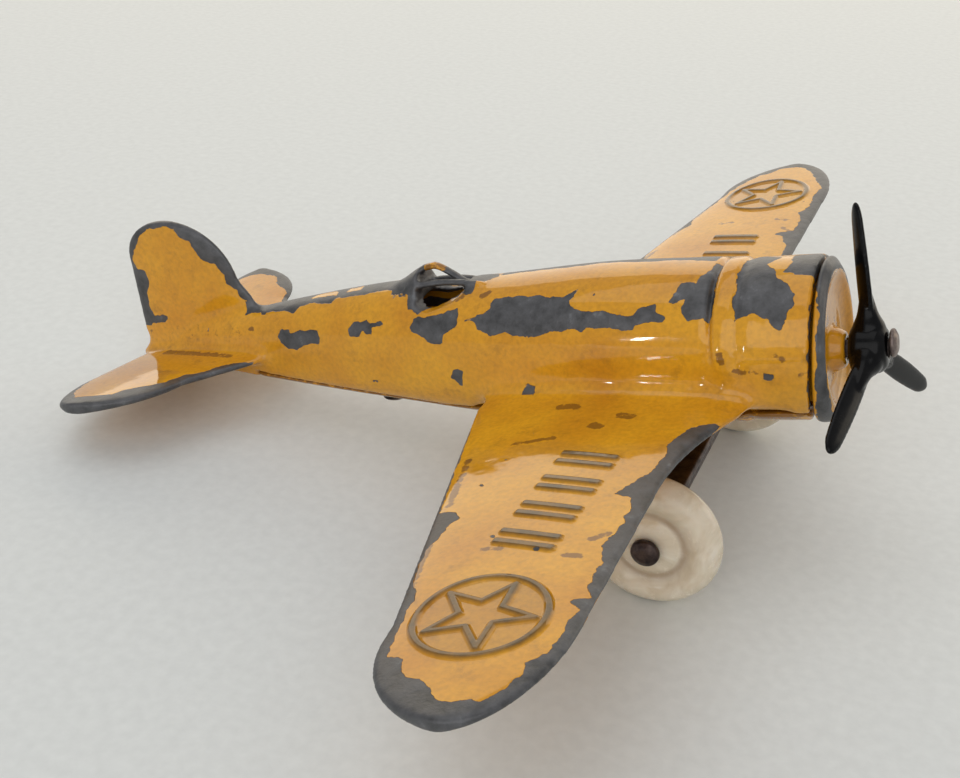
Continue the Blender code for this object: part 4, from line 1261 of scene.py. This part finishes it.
# the back of the ring follows the cowl's raked edge; its face stays flat
edge_x = cowl_edge(points[:, 1], points[:, 2]) + 0.22
share = np.clip((FACE_X - 0.3 - points[:, 0]) / (FACE_X + 0.9 - RING_BACK), 0, 1)
points[:, 0] += share * (edge_x - (RING_BACK - 1.2)) * np.clip(radius / 6.0 - 0.2, 0, 1)
move_points(engine, spread(points, edges_of(engine), 5))
# the side is worn bare, more of it at the top; the face keeps its paint
points = points_of(engine)
radius = np.hypot(points[:, 1], points[:, 2])
bare = np.clip(radius - (RING_R_OUT - 0.9) + 0.05 * points[:, 2], -1.5, 1.0)
edge_x = cowl_edge(points[:, 1], points[:, 2])
bare = np.minimum(bare, points[:, 0] - edge_x - 0.62 + 0.5 * near(np.maximum(7.6 - points[:, 2], 0), 3.0))
note(engine, "bare", bare)
note(engine, "relief", np.zeros(len(points)))
# painted shadow of the propeller hub: a brown ring on the face around the shaft
note(engine, "stain_and_shade", 0.55 * near(np.abs(np.hypot(points[:, 1], points[:, 2] + SHAFT_DROP) - 3.0), 1.2))
note_hollows(engine)
finished("cowl_ring", engine, "airframe", ["engine_casting"], enamel)

# %% [markdown]
# ## Propeller
# One moulding: a drum of a hub, a stub for each blade and three twisted blades. The plastic has taken a
# bend from play, so each blade leans by its own angle. A fine skin over the joined shapes gives the soft
# blends of a moulding.

# %% Propeller
HUB_R, BLADE_PLANE, TIP_R, CHORD, THICK = 2.3, 1.75, 13.3, 2.05, 0.75
BLADE_PHASE, BLADE_LEANS = 13.0, (-3.0, 13.0, -8.0)


def blade_turn(number):
    """From an upright blade to its place on the hub."""
    turn = Matrix.Rotation(math.radians(-BLADE_PHASE - 120.0 * number), 4, "X")
    return Matrix.Translation((HUB_BACK + BLADE_PLANE, 0.0, -SHAFT_DROP)) @ turn


def blade(number):
    rings = []
    steps = 48
    for i in range(steps + 1):
        t = i / steps
        radius = HUB_R * 0.6 + (TIP_R - HUB_R * 0.6) * t
        tip = math.sqrt(max(1.0 - max((t - 0.86) / 0.14, 0.0) ** 2, 0.01))
        chord = CHORD * (0.62 + 0.45 * math.sin(math.pi * min(0.15 + 0.75 * t, 1.0))) * tip
        thick = THICK * (1.35 - 0.5 * t) * math.sqrt(tip)
        pitch = -math.radians(38.0 - 4.0 * t)
        ring = []
        for k in range(32):
            angle = 2 * math.pi * k / 32
            wide, deep = chord / 2 * math.cos(angle), thick / 2 * math.sin(angle)
            across = wide * math.sin(pitch) + deep * math.cos(pitch)
            ring.append((across, wide * math.cos(pitch) - deep * math.sin(pitch), radius))
        rings.append(ring)
    mesh = loft(rings)
    mesh.transform(blade_turn(number) @ Matrix.Rotation(math.radians(BLADE_LEANS[number]), 4, "Y"))
    return mesh


def root_cone(number):
    """The funnel that each blade grows out of."""
    mesh = turned(eased([(0.2, 1.6), (2.1, 1.5), (3.1, 0.95), (5.2, 0.5), (5.6, 0.3)], 0.5), "Z", 32)
    mesh.transform(blade_turn(number) @ Matrix.Rotation(math.radians(BLADE_LEANS[number] * 0.7), 4, "Y"))
    return mesh


hub = turned(
    eased(
        [
            (HUB_BACK, 0.01), (HUB_BACK, HUB_R - 0.5), (HUB_BACK + 0.5, HUB_R), (HUB_FRONT - 0.8, HUB_R),
            (HUB_FRONT - 0.1, HUB_R - 0.6), (HUB_FRONT, HUB_R - 1.2), (HUB_FRONT, 0.01)
        ],
        0.3
    ),
    "X", 72, SHAFT_CENTRE
)
bore = turned(((HUB_BACK - 2.0, SHAFT_HOLE), (HUB_FRONT + 2.0, SHAFT_HOLE)), "X", 40, SHAFT_CENTRE)
blades = [("UNION", part(number)) for number in range(3) for part in (root_cone, blade)]
propeller = skinned(combined(hub, blades + [("DIFFERENCE", bore)]), 0.12, 4)
finished("propeller_moulding", propeller, "propeller", ["propeller"], black_plastic)

under_head = HUB_FRONT + 0.15
pin = turned(
    eased(
        [
            (RING_BACK - 3.2, 0.01), (RING_BACK - 3.2, PIN_R), (under_head, PIN_R), (under_head + 0.02, 1.25),
            (under_head + 0.35, 1.35), (under_head + 0.65, 0.8), (under_head + 0.7, 0.01)
        ],
        0.18
    ),
    "X", 64, SHAFT_CENTRE
)
points = points_of(pin)
points[:, 2] += 0.5 * (points[:, 0] > under_head - 0.05)
move_points(pin, points)
finished("shaft_pin", pin, "airframe", ["propeller_pin"], worn_steel, 50.0)

# %% [markdown]
# ## Wheels and axle
# The wheels are turned shapes: a round tread, a dished outer face and a raised hub bored for the axle. One
# steel rod runs through both, with its ends peened into low heads that keep the wheels on.

# %% Wheels, axle and gear strip
WHEEL_R, WHEEL_W, HUB_WHEEL_R, TREAD_R = 6.4, 3.6, 2.1, 1.7
AXLE_HOLE, AXLE_CENTRE = 0.92, (WHEEL_X, 0.0, AXLE_Z)


def wheel_mesh(side):
    half = WHEEL_W / 2
    crest = WHEEL_R - TREAD_R
    profile = [(-half + 0.36, 0.94), (-half + 0.36, HUB_WHEEL_R), (-half + 0.36, crest - 0.8)]
    for i in range(25):
        angle = math.pi * (1 - i / 24)
        profile.append((half * math.cos(angle), crest + TREAD_R * math.sin(angle)))
    # the outer face: a round shoulder, a shallow brown valley and a domed hub
    profile += [(half - 0.12, crest - 0.45), (half - 0.5, crest - 1.0), (half - 0.72, crest - 1.45)]
    profile += [(half - 0.6, 2.95), (half - 0.2, 2.5), (half + 0.02, 1.9), (half + 0.02, 0.94)]
    smooth = eased([(side * along, radius) for along, radius in profile], 0.4, 4)
    centre = (WHEEL_X, side * TRACK / 2, AXLE_Z)
    mesh = turned(smooth, "Y", 160, centre)
    drill = turned(((-9.0, AXLE_HOLE), (9.0, AXLE_HOLE)), "Y", 48, centre)
    return combined(mesh, [("DIFFERENCE", drill)])


for name, side in (("wheel_left", 1), ("wheel_right", -1)):
    tyre = skinned(wheel_mesh(side), 0.15, 4)
    note_hollows(tyre, 16)
    finished(name + "_moulding", tyre, name, [name], pearl)

reach = TRACK / 2 + WHEEL_W / 2 + 0.3
end = [(reach, 0.8), (reach + 0.03, 1.35), (reach + 0.5, 1.3), (reach + 0.85, 0.7), (reach + 0.85, 0.01)]
rod = turned(eased([(-along, radius) for along, radius in reversed(end)] + end, 0.16), "Y", 48, AXLE_CENTRE)
finished("axle", rod, "airframe", ["axle_rod"], browned, 50.0)

ear_inner = TRACK / 2 - WHEEL_W / 2 - 0.3 - BRACKET_T
ear_outer = ear_inner + BRACKET_T
half_w = BRACKET_W / 2
strip = slab(
    [
        (WHEEL_X - half_w, strip_top - BRACKET_T), (WHEEL_X + half_w, strip_top - BRACKET_T),
        (WHEEL_X + half_w, strip_top), (WHEEL_X - half_w, strip_top)
    ],
    -ear_outer, ear_outer
)
cuts = []
for side in (1, -1):
    outline = [(WHEEL_X + half_w, strip_top - 0.1), (WHEEL_X - half_w, strip_top - 0.1)]
    for i in range(25):
        angle = math.pi * (1 + i / 24)
        outline.append((WHEEL_X + EAR_R * math.cos(angle), AXLE_Z + EAR_R * math.sin(angle)))
    low, high = sorted((side * ear_inner, side * (ear_outer - 0.02)))
    cuts.append(("UNION", slab(outline, low, high)))
cuts.append(("DIFFERENCE", turned(((-20.0, AXLE_HOLE), (20.0, AXLE_HOLE)), "Y", 40, AXLE_CENTRE)))
cuts.append(("DIFFERENCE", turned(((-12.0, RIVET_HOLE), (-5.0, RIVET_HOLE)), "Z", 40, (WHEEL_X, 0.0, 0.0))))
bracket = skinned(combined(strip, cuts), 0.16, 5)
finished("gear_strip", bracket, "airframe", ["gear_bracket"], browned)

for name, x_here, seat in (
    ("rivet_front", WHEEL_X, strip_top - BRACKET_T),
    ("rivet_rear", RIVET_STATIONS[1], between(RIVET_STATIONS[1], 3)),
):
    head = seat - 0.3
    profile = [(head - 0.6, 0.01), (head - 0.6, 0.9), (head - 0.2, 1.6), (head, 1.7), (head + 0.02, 1.0)]
    profile += [(parting(x_here) + 3.0, 1.0), (parting(x_here) + 3.0, 0.01)]
    rivet = turned(eased(profile, 0.22), "Z", 56, (x_here, 0.0, 0.0))
    finished(name + "_head", rivet, "airframe", [name], browned, 50.0)

# %% [markdown]
# ## Table, light and camera
# The toy stands on a plain pale table top. One broad soft light hangs over it, a second broad one stands low
# behind its port side and shows in the wings, a third fills the near side, and a narrow window gap gives the
# glints.

# %% Table
table_top, tree = new_material("pale_laminate")
place = add(tree, "ShaderNodeTexCoord").outputs["Object"]
grain = add(tree, "ShaderNodeTexNoise", {"Vector": place, "Scale": every_mm(1.2), "Detail": 4.0})
tone = add(tree, "ShaderNodeMapRange", {"Value": grain, "From Min": 0.3, "From Max": 0.7})
base = add(
    tree, "ShaderNodeMix", {0: tone, 6: colour("#D8DBD9"), 7: colour("#DFE2E0")}, data_type="RGBA"
).outputs[2]
bump = add(tree, "ShaderNodeBump", {"Height": grain, "Strength": 0.2, "Distance": 0.05 * MM})
surface = add(tree, "ShaderNodeBsdfPrincipled", {"Base Color": base, "Roughness": 0.55, "Normal": bump})
add(tree, "ShaderNodeOutputMaterial", {"Surface": surface})
bpy.ops.mesh.primitive_plane_add(size=4.0)
table = bpy.context.object
table.name = "table"
table.data.materials.append(table_top)

# %% Lights
world = bpy.data.worlds.new("room")
world.use_nodes = True
world.node_tree.nodes["Background"].inputs["Color"].default_value = colour("#E6E7EA")
world.node_tree.nodes["Background"].inputs["Strength"].default_value = 0.55
bpy.context.scene.world = world


def soft_light(name, direction, distance, width, height, radiance, tint="#FFFFFF"):
    """A rectangular light seen from the toy in an airframe direction, with the given brightness."""
    away = (AIRFRAME.to_3x3() @ Vector(direction)).normalized()
    lamp = bpy.data.lights.new(name, "AREA")
    lamp.shape = "RECTANGLE"
    lamp.size, lamp.size_y = width, height
    lamp.energy = radiance * math.pi * width * height
    lamp.color = colour(tint)[:3]
    made = bpy.data.objects.new(name, lamp)
    bpy.context.scene.collection.objects.link(made)
    made.matrix_world = Matrix.Translation(
        away * distance
    ) @ away.to_track_quat("Z", "Y").to_matrix().to_4x4()
    return made


soft_light("ceiling", (0.0, 0.1, 1.0), 0.9, 0.9, 0.7, 0.75)
soft_light("far_wall", (0.05, 0.94, 0.36), 0.8, 2.6, 0.62, 1.3, "#FFF2DA")
soft_light("near_wall", (0.35, -0.8, 0.5), 0.8, 1.1, 0.6, 1.1)
soft_light("window_gap", (-0.33, -0.92, 0.25), 0.6, 0.008, 0.05, 90.0)

# %% Camera
sight = Matrix(
    (
        (0.88962, 0.00551, 0.45667, 49.435 * MM), (0.40524, 0.45160, -0.79488, -106.584 * MM),
        (-0.21062, 0.89220, 0.39952, 48.690 * MM), (0.0, 0.0, 0.0, 1.0)
    )
)
lens = bpy.data.cameras.new("camera")
lens.lens = 47.24
lens.sensor_width = 36.0
lens.clip_start = 0.005
camera = bpy.data.objects.new("camera", lens)
bpy.context.scene.collection.objects.link(camera)
camera.matrix_world = AIRFRAME @ sight
bpy.context.scene.camera = camera
bpy.context.scene.view_settings.view_transform = "Standard"
